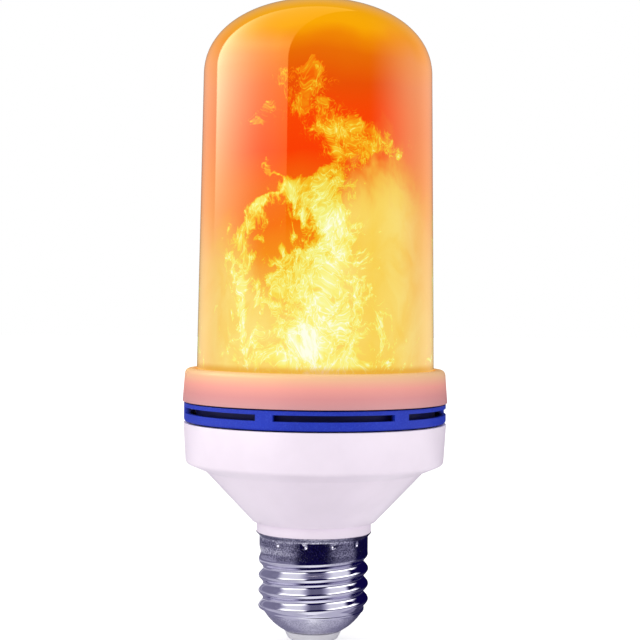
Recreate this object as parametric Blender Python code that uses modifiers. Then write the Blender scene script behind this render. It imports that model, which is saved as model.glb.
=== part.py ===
# Flame effect LED bulb with an Edison screw cap.
# It stands on its centre contact: the origin is the middle of the contact's flat face and +Z runs
# up the bulb's axis to the dome. Everything is in metres.
# The pieces stack from the contact up, so each height below is worked out from the one under it.

import math

import bmesh
import bpy
from mathutils import Matrix, Vector

MM = 0.001

# Clearances
SEAT = 0.3 * MM                 # between two pieces that sit against each other

# Centre contact and the insulator round it
CONTACT_RADIUS = 5.0 * MM
CONTACT_THICKNESS = 1.5 * MM
RIVET_RADIUS = 2.0 * MM
RIVET_HEAD_RADIUS = 3.2 * MM
RIVET_HEAD_HEIGHT = 0.8 * MM
INSULATOR_RIM = 0.9 * MM        # how far the white ring shows round the contact
INSULATOR_CONE_HEIGHT = 1.9 * MM
INSULATOR_FLARE = 1.0 * MM      # how much wider the cone is at its top
PLUG_HEIGHT = 4.0 * MM          # the insulator's plug inside the cap

# Screw cap: size 27 thread, 7 turns to the inch
SHEET = 0.4 * MM
THREAD_RADIUS = 13.15 * MM      # at the crests
THREAD_DEPTH = 1.1 * MM
THREAD_PITCH = 25.4 / 7 * MM
THREAD_TURNS = 4.05
THREAD_START = math.radians(48)  # where a crest leaves the thread's foot
RUN_IN = 0.8 * MM               # height over which the groove deepens at the thread's foot
RUN_OUT = 2.0 * MM              # height over which it runs out into the plain skirt
LIP_WIDTH = 0.8 * MM            # turned-in lip that holds the insulator
BOWL_HEIGHT = 4.3 * MM
BOWL_BULGE = 0.4 * MM
BOWL_INSET = 0.3 * MM           # step in from the thread's root to the bowl
SKIRT_INSET = 0.15 * MM         # the plain skirt is a little slimmer than the crests
SKIRT_HEIGHT = 4.0 * MM
RIM_FLARE = 0.8 * MM
RIM_HEIGHT = 0.9 * MM
PUNCH_COUNT = 12
PUNCH_START = math.radians(12)
PUNCH_DROP = 1.75 * MM          # from the rim down to the punch marks
PUNCH_RADIUS = 0.7 * MM
PUNCH_DEPTH = 0.22 * MM

# Globe
GLOBE_RADIUS = 28.4 * MM        # where it leaves the collar
GLOBE_TAPER = 1.05 * MM
GLOBE_SIDE_HEIGHT = 69.9 * MM   # straight side above the collar
GLOBE_WALL = 1.6 * MM
DOME_HEIGHT = 18.2 * MM
DOME_SQUARENESS = 2.14
FLANGE_WIDTH = 0.7 * MM
FLANGE_HEIGHT = 1.6 * MM

# Collar
COLLAR_WALL = 2.26 * MM         # at its foot, outside the globe's flange
COLLAR_TAPER = 0.6 * MM
COLLAR_HEIGHT = 7.85 * MM
COLLAR_EDGE = 1.3 * MM

# Vent ring
RING_INSET = 0.35 * MM          # the ring is slimmer than the collar above it
RING_HEIGHT = 4.45 * MM
RING_WALL = 1.4 * MM
RING_FLANGE = 0.8 * MM
RING_LIP_HEIGHT = 1.0 * MM
RING_EDGE = 1.0 * MM
BAFFLE_WALL = 1.4 * MM
SLOT_COUNT = 6
SLOT_HEIGHT = 1.45 * MM
SLOT_RISE = 2.05 * MM           # from the ring's foot to the lower edge of the slots
SLOT_RIB = 4.2 * MM             # plain wall left between two slots
WINDOW_WIDTH = 3.2 * MM         # air window in the baffle behind each rib

# Housing
WALL = 1.8 * MM
NECK_INSET = 0.1 * MM           # the neck is a little slimmer than the cap's rim
NECK_HEIGHT = 2.6 * MM
NECK_STEP = 1.05 * MM           # shoulder between the neck and the cone
CONE_HEIGHT = 12.05 * MM
UNDERSIDE_WIDTH = 4.65 * MM     # shallow cone under the cup
UNDERSIDE_RISE = 1.95 * MM
CUP_HEIGHT = 9.5 * MM
CUP_FLARE = 0.6 * MM
CUP_INSET = 0.1 * MM            # how much wider the cup's mouth is than the vent ring
CUP_EDGE = 0.9 * MM
CONE_EDGE = 0.5 * MM
SPIGOT_FLOOR = 3.3 * MM         # room left in the cap under the spigot

# Light tube
FLAME_GAP = 8.0 * MM            # from the lights to the inside of the globe
LIGHT_COLUMNS = 11
LIGHT_ROWS = 9
LIGHT_WIDTH = 2.8 * MM
LIGHT_LENGTH = 3.5 * MM
LIGHT_HEIGHT = 0.8 * MM
FLEX_THICKNESS = 0.4 * MM
FLEX_SEAM = math.radians(12)    # where the wrapped sheet's edges stay apart
FLEX_MARGIN = 2.5 * MM
CORE_WALL = 1.5 * MM
CORE_RISE = 2.0 * MM            # how far the tube goes up into the dome
CORE_CAP_THICKNESS = 1.5 * MM
CORE_CAP_PLUG = 3.0 * MM
CARRIER_THICKNESS = 1.6 * MM
CARRIER_HUB_HEIGHT = 3.5 * MM
CARRIER_HUB_WALL = 1.5 * MM
CARRIER_BORE = 5.0 * MM

# Driver
BOARD_THICKNESS = 1.6 * MM
BULK_CAPACITOR_RADIUS = 5.0 * MM
OUTPUT_CAPACITOR_RADIUS = 4.0 * MM
OUTPUT_CAPACITOR_LENGTH = 10.0 * MM
CAPACITOR_SPACE = 1.2 * MM      # between the two capacitors and under the longer one
INDUCTOR_RADIUS = 5.2 * MM
INDUCTOR_HEIGHT = 7.0 * MM
INDUCTOR_FLANGE = 1.0 * MM
RECTIFIER_SIZE = (6.4 * MM, 4.8 * MM, 2.2 * MM)
CHIP_SIZE = (5.0 * MM, 4.0 * MM, 1.5 * MM)
CHIP_LEGS = 4                   # on each side
LEG_SIZE = (0.5 * MM, 1.2 * MM, 0.5 * MM)
TILT_RADIUS = 2.4 * MM
TILT_LENGTH = 8.0 * MM
FUSE_RADIUS = 1.9 * MM
FUSE_LENGTH = 7.5 * MM
FUSE_LEAD_RADIUS = 0.5 * MM
FUSE_LEAD_LENGTH = 4.0 * MM
WIRE_RADIUS = 0.7 * MM
LED_WIRE_SPREAD = 2.2 * MM      # each light wire's distance from the axis on the board

# Facets
ROUND_STEPS = 36
CAP_STEPS = 30
SMALL_STEPS = 16
ROWS_PER_PITCH = 5
ARC_STEPS = 2
DOME_STEPS = 9
BOWL_STEPS = 4

# Radii, from the globe out to the housing
GLOBE_INSIDE = GLOBE_RADIUS - GLOBE_WALL
FLANGE_RADIUS = GLOBE_RADIUS + FLANGE_WIDTH
COLLAR_BORE = FLANGE_RADIUS + SEAT
COLLAR_RADIUS = COLLAR_BORE + COLLAR_WALL
RING_RADIUS = COLLAR_RADIUS - RING_INSET
CUP_TOP_RADIUS = RING_RADIUS + CUP_INSET
CUP_FOOT_RADIUS = CUP_TOP_RADIUS - CUP_FLARE
BAFFLE_RADIUS = CUP_FOOT_RADIUS - WALL - SEAT

# Radii, from the thread out to the neck and in to the spigot
ROOT_RADIUS = THREAD_RADIUS - THREAD_DEPTH
SKIRT_RADIUS = THREAD_RADIUS - SKIRT_INSET
RIM_RADIUS = SKIRT_RADIUS + RIM_FLARE
NECK_RADIUS = RIM_RADIUS - NECK_INSET
INSULATOR_TIP_RADIUS = CONTACT_RADIUS + INSULATOR_RIM
INSULATOR_BASE_RADIUS = INSULATOR_TIP_RADIUS + INSULATOR_FLARE
BOWL_FOOT_RADIUS = INSULATOR_BASE_RADIUS + SEAT
LIP_RADIUS = BOWL_FOOT_RADIUS - LIP_WIDTH
SPIGOT_RADIUS = ROOT_RADIUS - SHEET - SEAT
SPIGOT_TOP_RADIUS = SKIRT_RADIUS - SHEET - SEAT

# Heights, from the contact up
INSULATOR_FOOT = CONTACT_THICKNESS + SEAT
INSULATOR_SHOULDER = INSULATOR_FOOT + INSULATOR_CONE_HEIGHT
CAP_FOOT = INSULATOR_SHOULDER + SEAT
PLUG_FOOT = CAP_FOOT + SHEET + SEAT
PLUG_TOP = PLUG_FOOT + PLUG_HEIGHT
RIVET_TOP = PLUG_TOP + SEAT + RIVET_HEAD_HEIGHT
THREAD_FOOT = CAP_FOOT + BOWL_HEIGHT
THREAD_TOP = THREAD_FOOT + THREAD_TURNS * THREAD_PITCH
CAP_TOP = THREAD_TOP + SKIRT_HEIGHT
NECK_FOOT = CAP_TOP + SEAT
CONE_FOOT = NECK_FOOT + NECK_HEIGHT
CONE_TOP = CONE_FOOT + CONE_HEIGHT
CUP_FOOT = CONE_TOP + UNDERSIDE_RISE
CUP_TOP = CUP_FOOT + CUP_HEIGHT
SPIGOT_FOOT = THREAD_FOOT + SPIGOT_FLOOR
RING_FOOT = CUP_TOP + SEAT
RING_TOP = RING_FOOT + RING_HEIGHT
RING_LIP_TOP = RING_TOP + RING_LIP_HEIGHT
COLLAR_FOOT = RING_TOP + SEAT
COLLAR_TOP = COLLAR_FOOT + COLLAR_HEIGHT
CARRIER_FOOT = RING_LIP_TOP + SEAT
CARRIER_TOP = CARRIER_FOOT + CARRIER_THICKNESS
GLOBE_FOOT = CARRIER_TOP + SEAT
FLANGE_TOP = GLOBE_FOOT + FLANGE_HEIGHT
DOME_FOOT = COLLAR_TOP + GLOBE_SIDE_HEIGHT
CORE_TOP = DOME_FOOT + CORE_RISE

# Radii of the light tube, from the globe's inside in
LIGHT_FACE_RADIUS = GLOBE_INSIDE - GLOBE_TAPER - FLAME_GAP
FLEX_RADIUS = LIGHT_FACE_RADIUS - LIGHT_HEIGHT
CORE_RADIUS = FLEX_RADIUS - FLEX_THICKNESS - SEAT
CORE_BORE = CORE_RADIUS - CORE_WALL

# Sheet-metal colours, plastics and the rest: colour, roughness, metallic
FINISHES = {
    "lit_diffuser": ((0.96, 0.30, 0.03), 0.30, 0.0),
    "salmon_plastic": ((0.84, 0.42, 0.36), 0.40, 0.0),
    "blue_plastic": ((0.030, 0.045, 0.38), 0.45, 0.0),
    "lavender_plastic": ((0.88, 0.78, 0.90), 0.45, 0.0),
    "nickel": ((0.72, 0.72, 0.76), 0.15, 1.0),
    "white_ceramic": ((0.80, 0.79, 0.83), 0.35, 0.0),
    "tinned_brass": ((0.70, 0.66, 0.58), 0.30, 1.0),
    "white_plastic": ((0.80, 0.80, 0.78), 0.50, 0.0),
    "flex_circuit": ((0.78, 0.76, 0.66), 0.40, 0.0),
    "green_circuit": ((0.03, 0.22, 0.08), 0.40, 0.0),
    "dark_sleeve": ((0.02, 0.03, 0.05), 0.35, 0.0),
    "copper_winding": ((0.60, 0.26, 0.10), 0.35, 1.0),
    "black_epoxy": ((0.02, 0.02, 0.02), 0.50, 0.0),
    "steel_can": ((0.60, 0.60, 0.62), 0.30, 1.0),
    "fuse_coating": ((0.10, 0.30, 0.12), 0.50, 0.0),
    "red_wire": ((0.60, 0.03, 0.03), 0.45, 0.0),
    "black_wire": ((0.02, 0.02, 0.02), 0.45, 0.0),
    "blue_wire": ((0.03, 0.10, 0.50), 0.45, 0.0),
}


def empty_scene():
    """Remove what the scene holds."""
    for obj in list(bpy.data.objects):
        bpy.data.objects.remove(obj)


def new_collection(name):
    collection = bpy.data.collections.new(name)
    bpy.context.scene.collection.children.link(collection)
    return collection


def finish_material(finish):
    """The Principled material of this finish, made once."""
    material = bpy.data.materials.get(finish)
    if material is None:
        colour, roughness, metallic = FINISHES[finish]
        material = bpy.data.materials.new(finish)
        material.use_nodes = True
        shader = material.node_tree.nodes["Principled BSDF"]
        shader.inputs["Base Color"].default_value = (*colour, 1.0)
        shader.inputs["Roughness"].default_value = roughness
        shader.inputs["Metallic"].default_value = metallic
        material.diffuse_color = (*colour, 1.0)
    return material


def add_object(name, data, collection, finish=None):
    """Link a new object, hung on the bulb's own empty when it is a part of the bulb."""
    obj = bpy.data.objects.new(name, data)
    collection.objects.link(obj)
    if finish:
        obj.data.materials.append(finish_material(finish))
        obj.parent = bulb
    return obj


def smooth(mesh):
    """Shade round stretches smooth and keep real edges sharp."""
    mesh.shade_smooth()
    mesh.set_sharp_from_angle(angle=math.radians(35))


def apply_modifiers(obj):
    """Make what the modifiers produce the object's own mesh."""
    graph = bpy.context.evaluated_depsgraph_get()
    mesh = bpy.data.meshes.new_from_object(obj.evaluated_get(graph))
    obj.modifiers.clear()
    obj.data = mesh
    smooth(mesh)


def rounded(corners, closed=True):
    """Points of an outline; a corner (x, y, fillet) is rounded to its fillet radius."""
    points = []
    for index, corner in enumerate(corners):
        here = Vector(corner[:2])
        at_end = not closed and index in (0, len(corners) - 1)
        if len(corner) == 2 or at_end:
            points.append(here)
            continue
        back = Vector(corners[index - 1][:2]) - here
        ahead = Vector(corners[(index + 1) % len(corners)][:2]) - here
        half_angle = back.angle(ahead) / 2
        longest = 0.45 * min(back.length, ahead.length)
        reach = min(corner[2] / math.tan(half_angle), longest)
        radius = reach * math.tan(half_angle)
        middle = (back.normalized() + ahead.normalized()).normalized()
        centre = here + middle * radius / math.sin(half_angle)
        start = here + back.normalized() * reach - centre
        end = here + ahead.normalized() * reach - centre
        turn = math.atan2(start.x * end.y - start.y * end.x, start.dot(end))
        for step in range(ARC_STEPS + 1):
            spun = Matrix.Rotation(turn * step / ARC_STEPS, 2) @ start
            points.append(centre + spun)
    return points


def arc_between(start, end, bulge, steps):
    """Points from start to end on an arc that stands bulge proud of the straight line."""
    start = Vector(start)
    end = Vector(end)
    along = end - start
    outward = Vector((-along.y, along.x)).normalized()
    points = []
    for step in range(steps + 1):
        share = step / steps
        points.append(start + along * share + outward * bulge * 4 * share * (1 - share))
    return points


def inset_line(points, distance):
    """An open outline that runs down a solid's outer side, moved into the solid by distance."""
    points = [Vector(point) for point in points]
    inner = []
    for index, point in enumerate(points):
        before = points[max(index - 1, 0)]
        after = points[min(index + 1, len(points) - 1)]
        first = (point - before).normalized() if index else (after - point).normalized()
        last = (after - point).normalized() if after != point else first
        normal_in = Vector((first.y, -first.x))
        normal_out = Vector((last.y, -last.x))
        mitre = normal_in + normal_out
        inner.append(point + mitre * 2 * distance / mitre.length_squared)
    return inner


def turned(name, outline, finish, collection, steps=ROUND_STEPS, closed=True, angle=math.tau):
    """Turn an outline of (radius, height) points about the bulb's axis.

    The outline runs down its outer side. A closed one is a ring's section, an open one starts
    and ends on the axis.
    """
    count = len(outline)
    edges = [(index, index + 1) for index in range(count - 1)]
    if closed:
        edges.append((count - 1, 0))
    mesh = bpy.data.meshes.new(name)
    mesh.from_pydata([(point[0], 0.0, point[1]) for point in outline], edges, [])
    obj = add_object(name, mesh, collection, finish)
    screw = obj.modifiers.new("Turn", "SCREW")
    screw.angle = angle
    screw.steps = steps
    screw.render_steps = steps
    screw.use_merge_vertices = True
    screw.merge_threshold = 0.00001
    apply_modifiers(obj)
    return obj


def cut(target, cutter, operation="DIFFERENCE"):
    """Cut target with cutter, or join it on."""
    cutter.hide_render = True
    cutter.display_type = "WIRE"
    boolean = target.modifiers.new(cutter.name, "BOOLEAN")
    boolean.operation = operation
    boolean.object = cutter


def boxes(name, size, places, collection, finish=None):
    """One mesh of equal boxes, each put in its place by a matrix."""
    shape = bmesh.new()
    for place in places:
        bmesh.ops.create_cube(shape, size=1.0, matrix=place @ Matrix.Diagonal((*size, 1.0)))
    mesh = bpy.data.meshes.new(name)
    shape.to_mesh(mesh)
    shape.free()
    return add_object(name, mesh, collection, finish)


def bevel(obj, width, segments=1):
    modifier = obj.modifiers.new("Edges", "BEVEL")
    modifier.width = width
    modifier.segments = segments
    modifier.limit_method = "ANGLE"


def round_the_axis(angle, radius, height):
    """Place something at this angle round the axis, with its own X pointing outwards."""
    out = Matrix.Rotation(angle, 4, "Z")
    return out @ Matrix.Translation((radius, 0.0, height))


def smooth_route(stops, steps=5):
    """Points along one smooth curve through the stops."""
    stops = [Vector(stop) for stop in stops]
    ends = [2 * stops[0] - stops[1], *stops, 2 * stops[-1] - stops[-2]]
    points = []
    for a, b, c, d in zip(ends, ends[1:], ends[2:], ends[3:]):
        for step in range(steps):
            t = step / steps
            bend = (2 * a - 5 * b + 4 * c - d) * t * t + (3 * b - a - 3 * c + d) * t ** 3
            points.append(b + ((c - a) * t + bend) / 2)
    points.append(stops[-1])
    return points


def wire(name, stops, finish):
    """A round insulated wire along a smooth route."""
    curve = bpy.data.curves.new(name, "CURVE")
    curve.dimensions = "3D"
    curve.bevel_depth = WIRE_RADIUS
    curve.bevel_resolution = 1
    curve.use_fill_caps = True
    points = smooth_route(stops)
    spline = curve.splines.new("POLY")
    spline.points.add(len(points) - 1)
    for spot, point in zip(spline.points, points):
        spot.co = (*point, 1.0)
    return add_object(name, curve, parts, finish)


def make_centre_contact():
    """Button with a rivet shank, its head spread inside the cap."""
    head_foot = RIVET_TOP - RIVET_HEAD_HEIGHT
    outline = rounded([
        (0.0, RIVET_TOP),
        (RIVET_HEAD_RADIUS, RIVET_TOP),
        (RIVET_HEAD_RADIUS, head_foot),
        (RIVET_RADIUS, head_foot),
        (RIVET_RADIUS, CONTACT_THICKNESS),
        (CONTACT_RADIUS, CONTACT_THICKNESS),
        (CONTACT_RADIUS, 0.0, 0.4 * CONTACT_THICKNESS),
        (0.0, 0.0),
    ], closed=False)
    turned("centre_contact", outline, "tinned_brass", parts, SMALL_STEPS, closed=False)


def make_insulator():
    """White ring: a cone below the cap's lip and a plug above it."""
    plug_radius = BOWL_FOOT_RADIUS - SEAT
    shank_radius = LIP_RADIUS - SEAT
    bore = RIVET_RADIUS + SEAT
    outline = rounded([
        (plug_radius, PLUG_TOP),
        (plug_radius, PLUG_FOOT),
        (shank_radius, PLUG_FOOT),
        (shank_radius, INSULATOR_SHOULDER),
        (INSULATOR_BASE_RADIUS, INSULATOR_SHOULDER),
        (INSULATOR_TIP_RADIUS, INSULATOR_FOOT, 0.3 * INSULATOR_RIM),
        (bore, INSULATOR_FOOT),
        (bore, PLUG_TOP),
    ])
    turned("insulator", outline, "white_ceramic", parts, SMALL_STEPS)


def thread_offset(angle, height):
    """How far the rolled, right-handed thread moves the plain shell out or in at this place."""
    turns = (height - THREAD_FOOT) / THREAD_PITCH - (angle - THREAD_START) / math.tau
    wave = (1 + math.cos(math.tau * turns)) / 2
    room = min((height - THREAD_FOOT) / RUN_IN, (THREAD_TOP - height) / RUN_OUT)
    fade = max(0.0, min(1.0, room))
    return (THREAD_DEPTH * (wave - 1) + SKIRT_INSET) * fade * fade * (3 - 2 * fade)


def make_screw_cap():
    """Thin shell with a true helical thread rolled into it, both faces alike."""
    rim_foot = CAP_TOP - RIM_HEIGHT
    rows = round(THREAD_TURNS * ROWS_PER_PITCH)
    row_height = (THREAD_TOP - THREAD_FOOT - RUN_IN) / rows
    outer = [Vector((RIM_RADIUS, CAP_TOP)), Vector((SKIRT_RADIUS, rim_foot))]
    for row in range(rows + 1):
        outer.append(Vector((SKIRT_RADIUS, THREAD_TOP - row_height * row)))
    bowl_top = (ROOT_RADIUS - BOWL_INSET, THREAD_FOOT)
    outer.extend(arc_between(bowl_top, (BOWL_FOOT_RADIUS, CAP_FOOT), BOWL_BULGE, BOWL_STEPS))
    outer.append(Vector((LIP_RADIUS, CAP_FOOT)))
    inner = inset_line(outer, SHEET)
    cap = turned("screw_cap", outer + inner[::-1], "nickel", parts, CAP_STEPS)
    for vertex in cap.data.vertices:
        x, y, z = vertex.co
        radius = math.hypot(x, y)
        grown = (radius + thread_offset(math.atan2(y, x), z)) / radius
        vertex.co = (x * grown, y * grown, z)
    shape = bmesh.new()
    centre_radius = SKIRT_RADIUS + PUNCH_RADIUS - PUNCH_DEPTH
    for mark in range(PUNCH_COUNT):
        punch_angle = PUNCH_START + math.tau * mark / PUNCH_COUNT
        place = round_the_axis(punch_angle, centre_radius, CAP_TOP - PUNCH_DROP)
        bmesh.ops.create_uvsphere(shape, u_segments=8, v_segments=6, radius=PUNCH_RADIUS, matrix=place)
    mesh = bpy.data.meshes.new("punch_marks")
    shape.to_mesh(mesh)
    shape.free()
    cut(cap, add_object("punch_marks", mesh, cutters))


def housing_outer():
    """The housing's outer side, from the cup's mouth down to the spigot's foot."""
    return rounded([
        (CUP_TOP_RADIUS, CUP_TOP),
        (CUP_FOOT_RADIUS, CUP_FOOT, CUP_EDGE),
        (CUP_FOOT_RADIUS - UNDERSIDE_WIDTH, CONE_TOP, CONE_EDGE),
        (NECK_RADIUS + NECK_STEP, CONE_FOOT, 0.3 * NECK_STEP),
        (NECK_RADIUS, CONE_FOOT),
        (NECK_RADIUS, NECK_FOOT),
        (SPIGOT_TOP_RADIUS, NECK_FOOT),
        (SPIGOT_TOP_RADIUS, THREAD_TOP),
        (SPIGOT_RADIUS, THREAD_TOP),
        (SPIGOT_RADIUS, SPIGOT_FOOT),
    ], closed=False)


def housing_inner():
    """The housing's inner side, one wall in from plain corners of the outer side."""
    return inset_line([
        (CUP_TOP_RADIUS, CUP_TOP),
        (CUP_FOOT_RADIUS, CUP_FOOT),
        (CUP_FOOT_RADIUS - UNDERSIDE_WIDTH, CONE_TOP),
        (NECK_RADIUS + NECK_STEP, CONE_FOOT),
        (NECK_RADIUS, CONE_FOOT),
        (NECK_RADIUS, NECK_FOOT),
        (SPIGOT_TOP_RADIUS, NECK_FOOT),
        (SPIGOT_TOP_RADIUS, THREAD_TOP),
        (SPIGOT_RADIUS, THREAD_TOP),
        (SPIGOT_RADIUS, SPIGOT_FOOT),
    ], WALL)


def make_housing():
    """Cup, cone, neck and stepped spigot, moulded in one piece."""
    inner = housing_inner()
    inner[0] = Vector((CUP_TOP_RADIUS - WALL, CUP_TOP))
    turned("housing", housing_outer() + inner[::-1], "lavender_plastic", parts)


def board_height():
    """The driver board's underside: it rests on the rim of the cup's sloping floor."""
    return housing_inner()[1].y + SEAT


def make_vent_ring():
    """Outer wall with slots, a flange, and a baffle that reaches down to hold the board."""
    baffle_foot = board_height() + BOARD_THICKNESS + SEAT
    baffle_bore = BAFFLE_RADIUS - BAFFLE_WALL
    lip_radius = COLLAR_BORE - SEAT
    wall_bore = RING_RADIUS - RING_WALL
    flange_foot = RING_TOP - RING_FLANGE
    outline = rounded([
        (RING_RADIUS, RING_TOP),
        (RING_RADIUS, RING_FOOT, RING_EDGE),
        (wall_bore, RING_FOOT),
        (wall_bore, flange_foot),
        (BAFFLE_RADIUS, flange_foot),
        (BAFFLE_RADIUS, baffle_foot),
        (baffle_bore, baffle_foot),
        (baffle_bore, RING_LIP_TOP),
        (lip_radius, RING_LIP_TOP),
        (lip_radius, RING_TOP),
    ])
    ring = turned("vent_ring", outline, "blue_plastic", parts)
    slot_foot = RING_FOOT + SLOT_RISE
    slot_top = slot_foot + SLOT_HEIGHT
    cutter_bore = (BAFFLE_RADIUS + wall_bore) / 2
    cutter_radius = RING_RADIUS + RING_WALL
    slot_section = [
        (cutter_radius, slot_top),
        (cutter_radius, slot_foot),
        (cutter_bore, slot_foot),
        (cutter_bore, slot_top),
    ]
    slots = turned("slots", slot_section, None, cutters)
    half_turn = math.tau / SLOT_COUNT / 2
    places = []
    for rib in range(SLOT_COUNT):
        angle = math.radians(-90) + half_turn + math.tau * rib / SLOT_COUNT
        places.append(round_the_axis(angle, RING_RADIUS, (slot_foot + slot_top) / 2))
    rib_size = (4 * RING_WALL + 2 * (RING_RADIUS - cutter_bore), SLOT_RIB, 3 * SLOT_HEIGHT)
    cut(slots, boxes("ribs", rib_size, places, cutters))
    cut(ring, slots)
    window_places = []
    for place in places:
        window_places.append(place @ Matrix.Translation((BAFFLE_RADIUS - BAFFLE_WALL / 2 - RING_RADIUS, 0.0, 0.0)))
    window_size = (BAFFLE_WALL + RING_WALL, WINDOW_WIDTH, SLOT_HEIGHT)
    cut(ring, boxes("windows", window_size, window_places, cutters))


def make_collar():
    """Ring that traps the globe's flange under its lip."""
    top_radius = COLLAR_RADIUS - COLLAR_TAPER
    lip_foot = FLANGE_TOP + SEAT
    lip_bore = GLOBE_RADIUS + SEAT
    outline = rounded([
        (top_radius, COLLAR_TOP, COLLAR_EDGE),
        (COLLAR_RADIUS, COLLAR_FOOT),
        (COLLAR_BORE, COLLAR_FOOT),
        (COLLAR_BORE, lip_foot),
        (lip_bore, lip_foot),
        (lip_bore, COLLAR_TOP, COLLAR_EDGE / 3),
    ])
    turned("collar", outline, "salmon_plastic", parts)


def make_globe():
    """Frosted diffuser: slightly tapered side, squarish dome, flange under the collar's lip."""
    top_radius = GLOBE_RADIUS - GLOBE_TAPER
    power = 2 / DOME_SQUARENESS
    outer = []
    for step in range(DOME_STEPS + 1):
        angle = math.radians(90) * (1 - step / DOME_STEPS)
        across = max(math.cos(angle), 0.0) ** power
        up = max(math.sin(angle), 0.0) ** power
        outer.append(Vector((top_radius * across, DOME_FOOT + DOME_HEIGHT * up)))
    outer[0].x = 0.0
    outer.append(Vector((GLOBE_RADIUS, FLANGE_TOP)))
    inner = inset_line(outer, GLOBE_WALL)
    inner[0] = Vector((0.0, DOME_FOOT + DOME_HEIGHT - GLOBE_WALL))
    inner[-1] = Vector((GLOBE_RADIUS - GLOBE_WALL, GLOBE_FOOT))
    flange = [Vector((FLANGE_RADIUS, FLANGE_TOP)), Vector((FLANGE_RADIUS, GLOBE_FOOT))]
    turned("globe", outer + flange + inner[::-1], "lit_diffuser", parts, closed=False)


def make_carrier_plate():
    """Disc on the vent ring's lip, with a hub that the light tube slips over."""
    hub_radius = CORE_BORE - SEAT
    hub_bore = hub_radius - CARRIER_HUB_WALL
    hub_top = CARRIER_TOP + CARRIER_HUB_HEIGHT
    outline = [
        (hub_radius, hub_top),
        (hub_radius, CARRIER_TOP),
        (COLLAR_BORE - SEAT, CARRIER_TOP),
        (COLLAR_BORE - SEAT, CARRIER_FOOT),
        (CARRIER_BORE, CARRIER_FOOT),
        (CARRIER_BORE, CARRIER_TOP),
        (hub_bore, CARRIER_TOP),
        (hub_bore, hub_top),
    ]
    turned("carrier_plate", outline, "white_plastic", parts, steps=ROUND_STEPS)


def wire_hole_height():
    return CARRIER_TOP + CARRIER_HUB_HEIGHT + 4 * WIRE_RADIUS


def make_light_tube():
    """Plastic tube, its plug, and the flexible circuit wrapped round it with its lights."""
    core_foot = CARRIER_TOP + SEAT
    core = turned("led_core", [
        (CORE_RADIUS, CORE_TOP),
        (CORE_RADIUS, core_foot),
        (CORE_BORE, core_foot),
        (CORE_BORE, CORE_TOP),
    ], "white_plastic", parts, ROUND_STEPS)
    hole_side = 2 * (WIRE_RADIUS + SEAT)
    hole_size = (4 * CORE_WALL, hole_side, hole_side)
    holes = [round_the_axis(angle, CORE_RADIUS, wire_hole_height()) for angle in (0.0, math.pi)]
    cut(core, boxes("wire_holes", hole_size, holes, cutters))

    cap_foot = CORE_TOP + SEAT
    plug_radius = CORE_BORE - SEAT
    plug_bore = plug_radius - CORE_WALL
    turned("core_cap", rounded([
        (0.0, cap_foot + CORE_CAP_THICKNESS),
        (CORE_RADIUS, cap_foot + CORE_CAP_THICKNESS, 0.5 * CORE_CAP_THICKNESS),
        (CORE_RADIUS, cap_foot),
        (plug_radius, cap_foot),
        (plug_radius, cap_foot - CORE_CAP_PLUG),
        (plug_bore, cap_foot - CORE_CAP_PLUG),
        (plug_bore, cap_foot),
        (0.0, cap_foot),
    ], closed=False), "white_plastic", parts, SMALL_STEPS, closed=False)

    foot = core_foot + FLEX_MARGIN
    top = CORE_TOP - FLEX_MARGIN
    wrap = math.tau - FLEX_SEAM
    sheet = turned("led_sheet", [(FLEX_RADIUS, top), (FLEX_RADIUS, foot)], "flex_circuit", parts,
                   2 * LIGHT_COLUMNS, closed=False, angle=wrap)
    sheet.rotation_euler.z = math.radians(90) + FLEX_SEAM / 2
    thicken = sheet.modifiers.new("Thickness", "SOLIDIFY")
    thicken.thickness = FLEX_THICKNESS
    thicken.offset = -1.0
    places = []
    row_pitch = (top - foot) / LIGHT_ROWS
    sunk = 0.25 * LIGHT_HEIGHT
    for column in range(LIGHT_COLUMNS):
        angle = sheet.rotation_euler.z + wrap * (column + 0.5) / LIGHT_COLUMNS
        for row in range(LIGHT_ROWS):
            radius = FLEX_RADIUS + (LIGHT_HEIGHT - sunk) / 2
            places.append(round_the_axis(angle, radius, foot + row_pitch * (row + 0.5)))
    lights = boxes("lights", (LIGHT_HEIGHT + sunk, LIGHT_WIDTH, LIGHT_LENGTH), places, cutters)
    cut(sheet, lights, "UNION")


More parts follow.
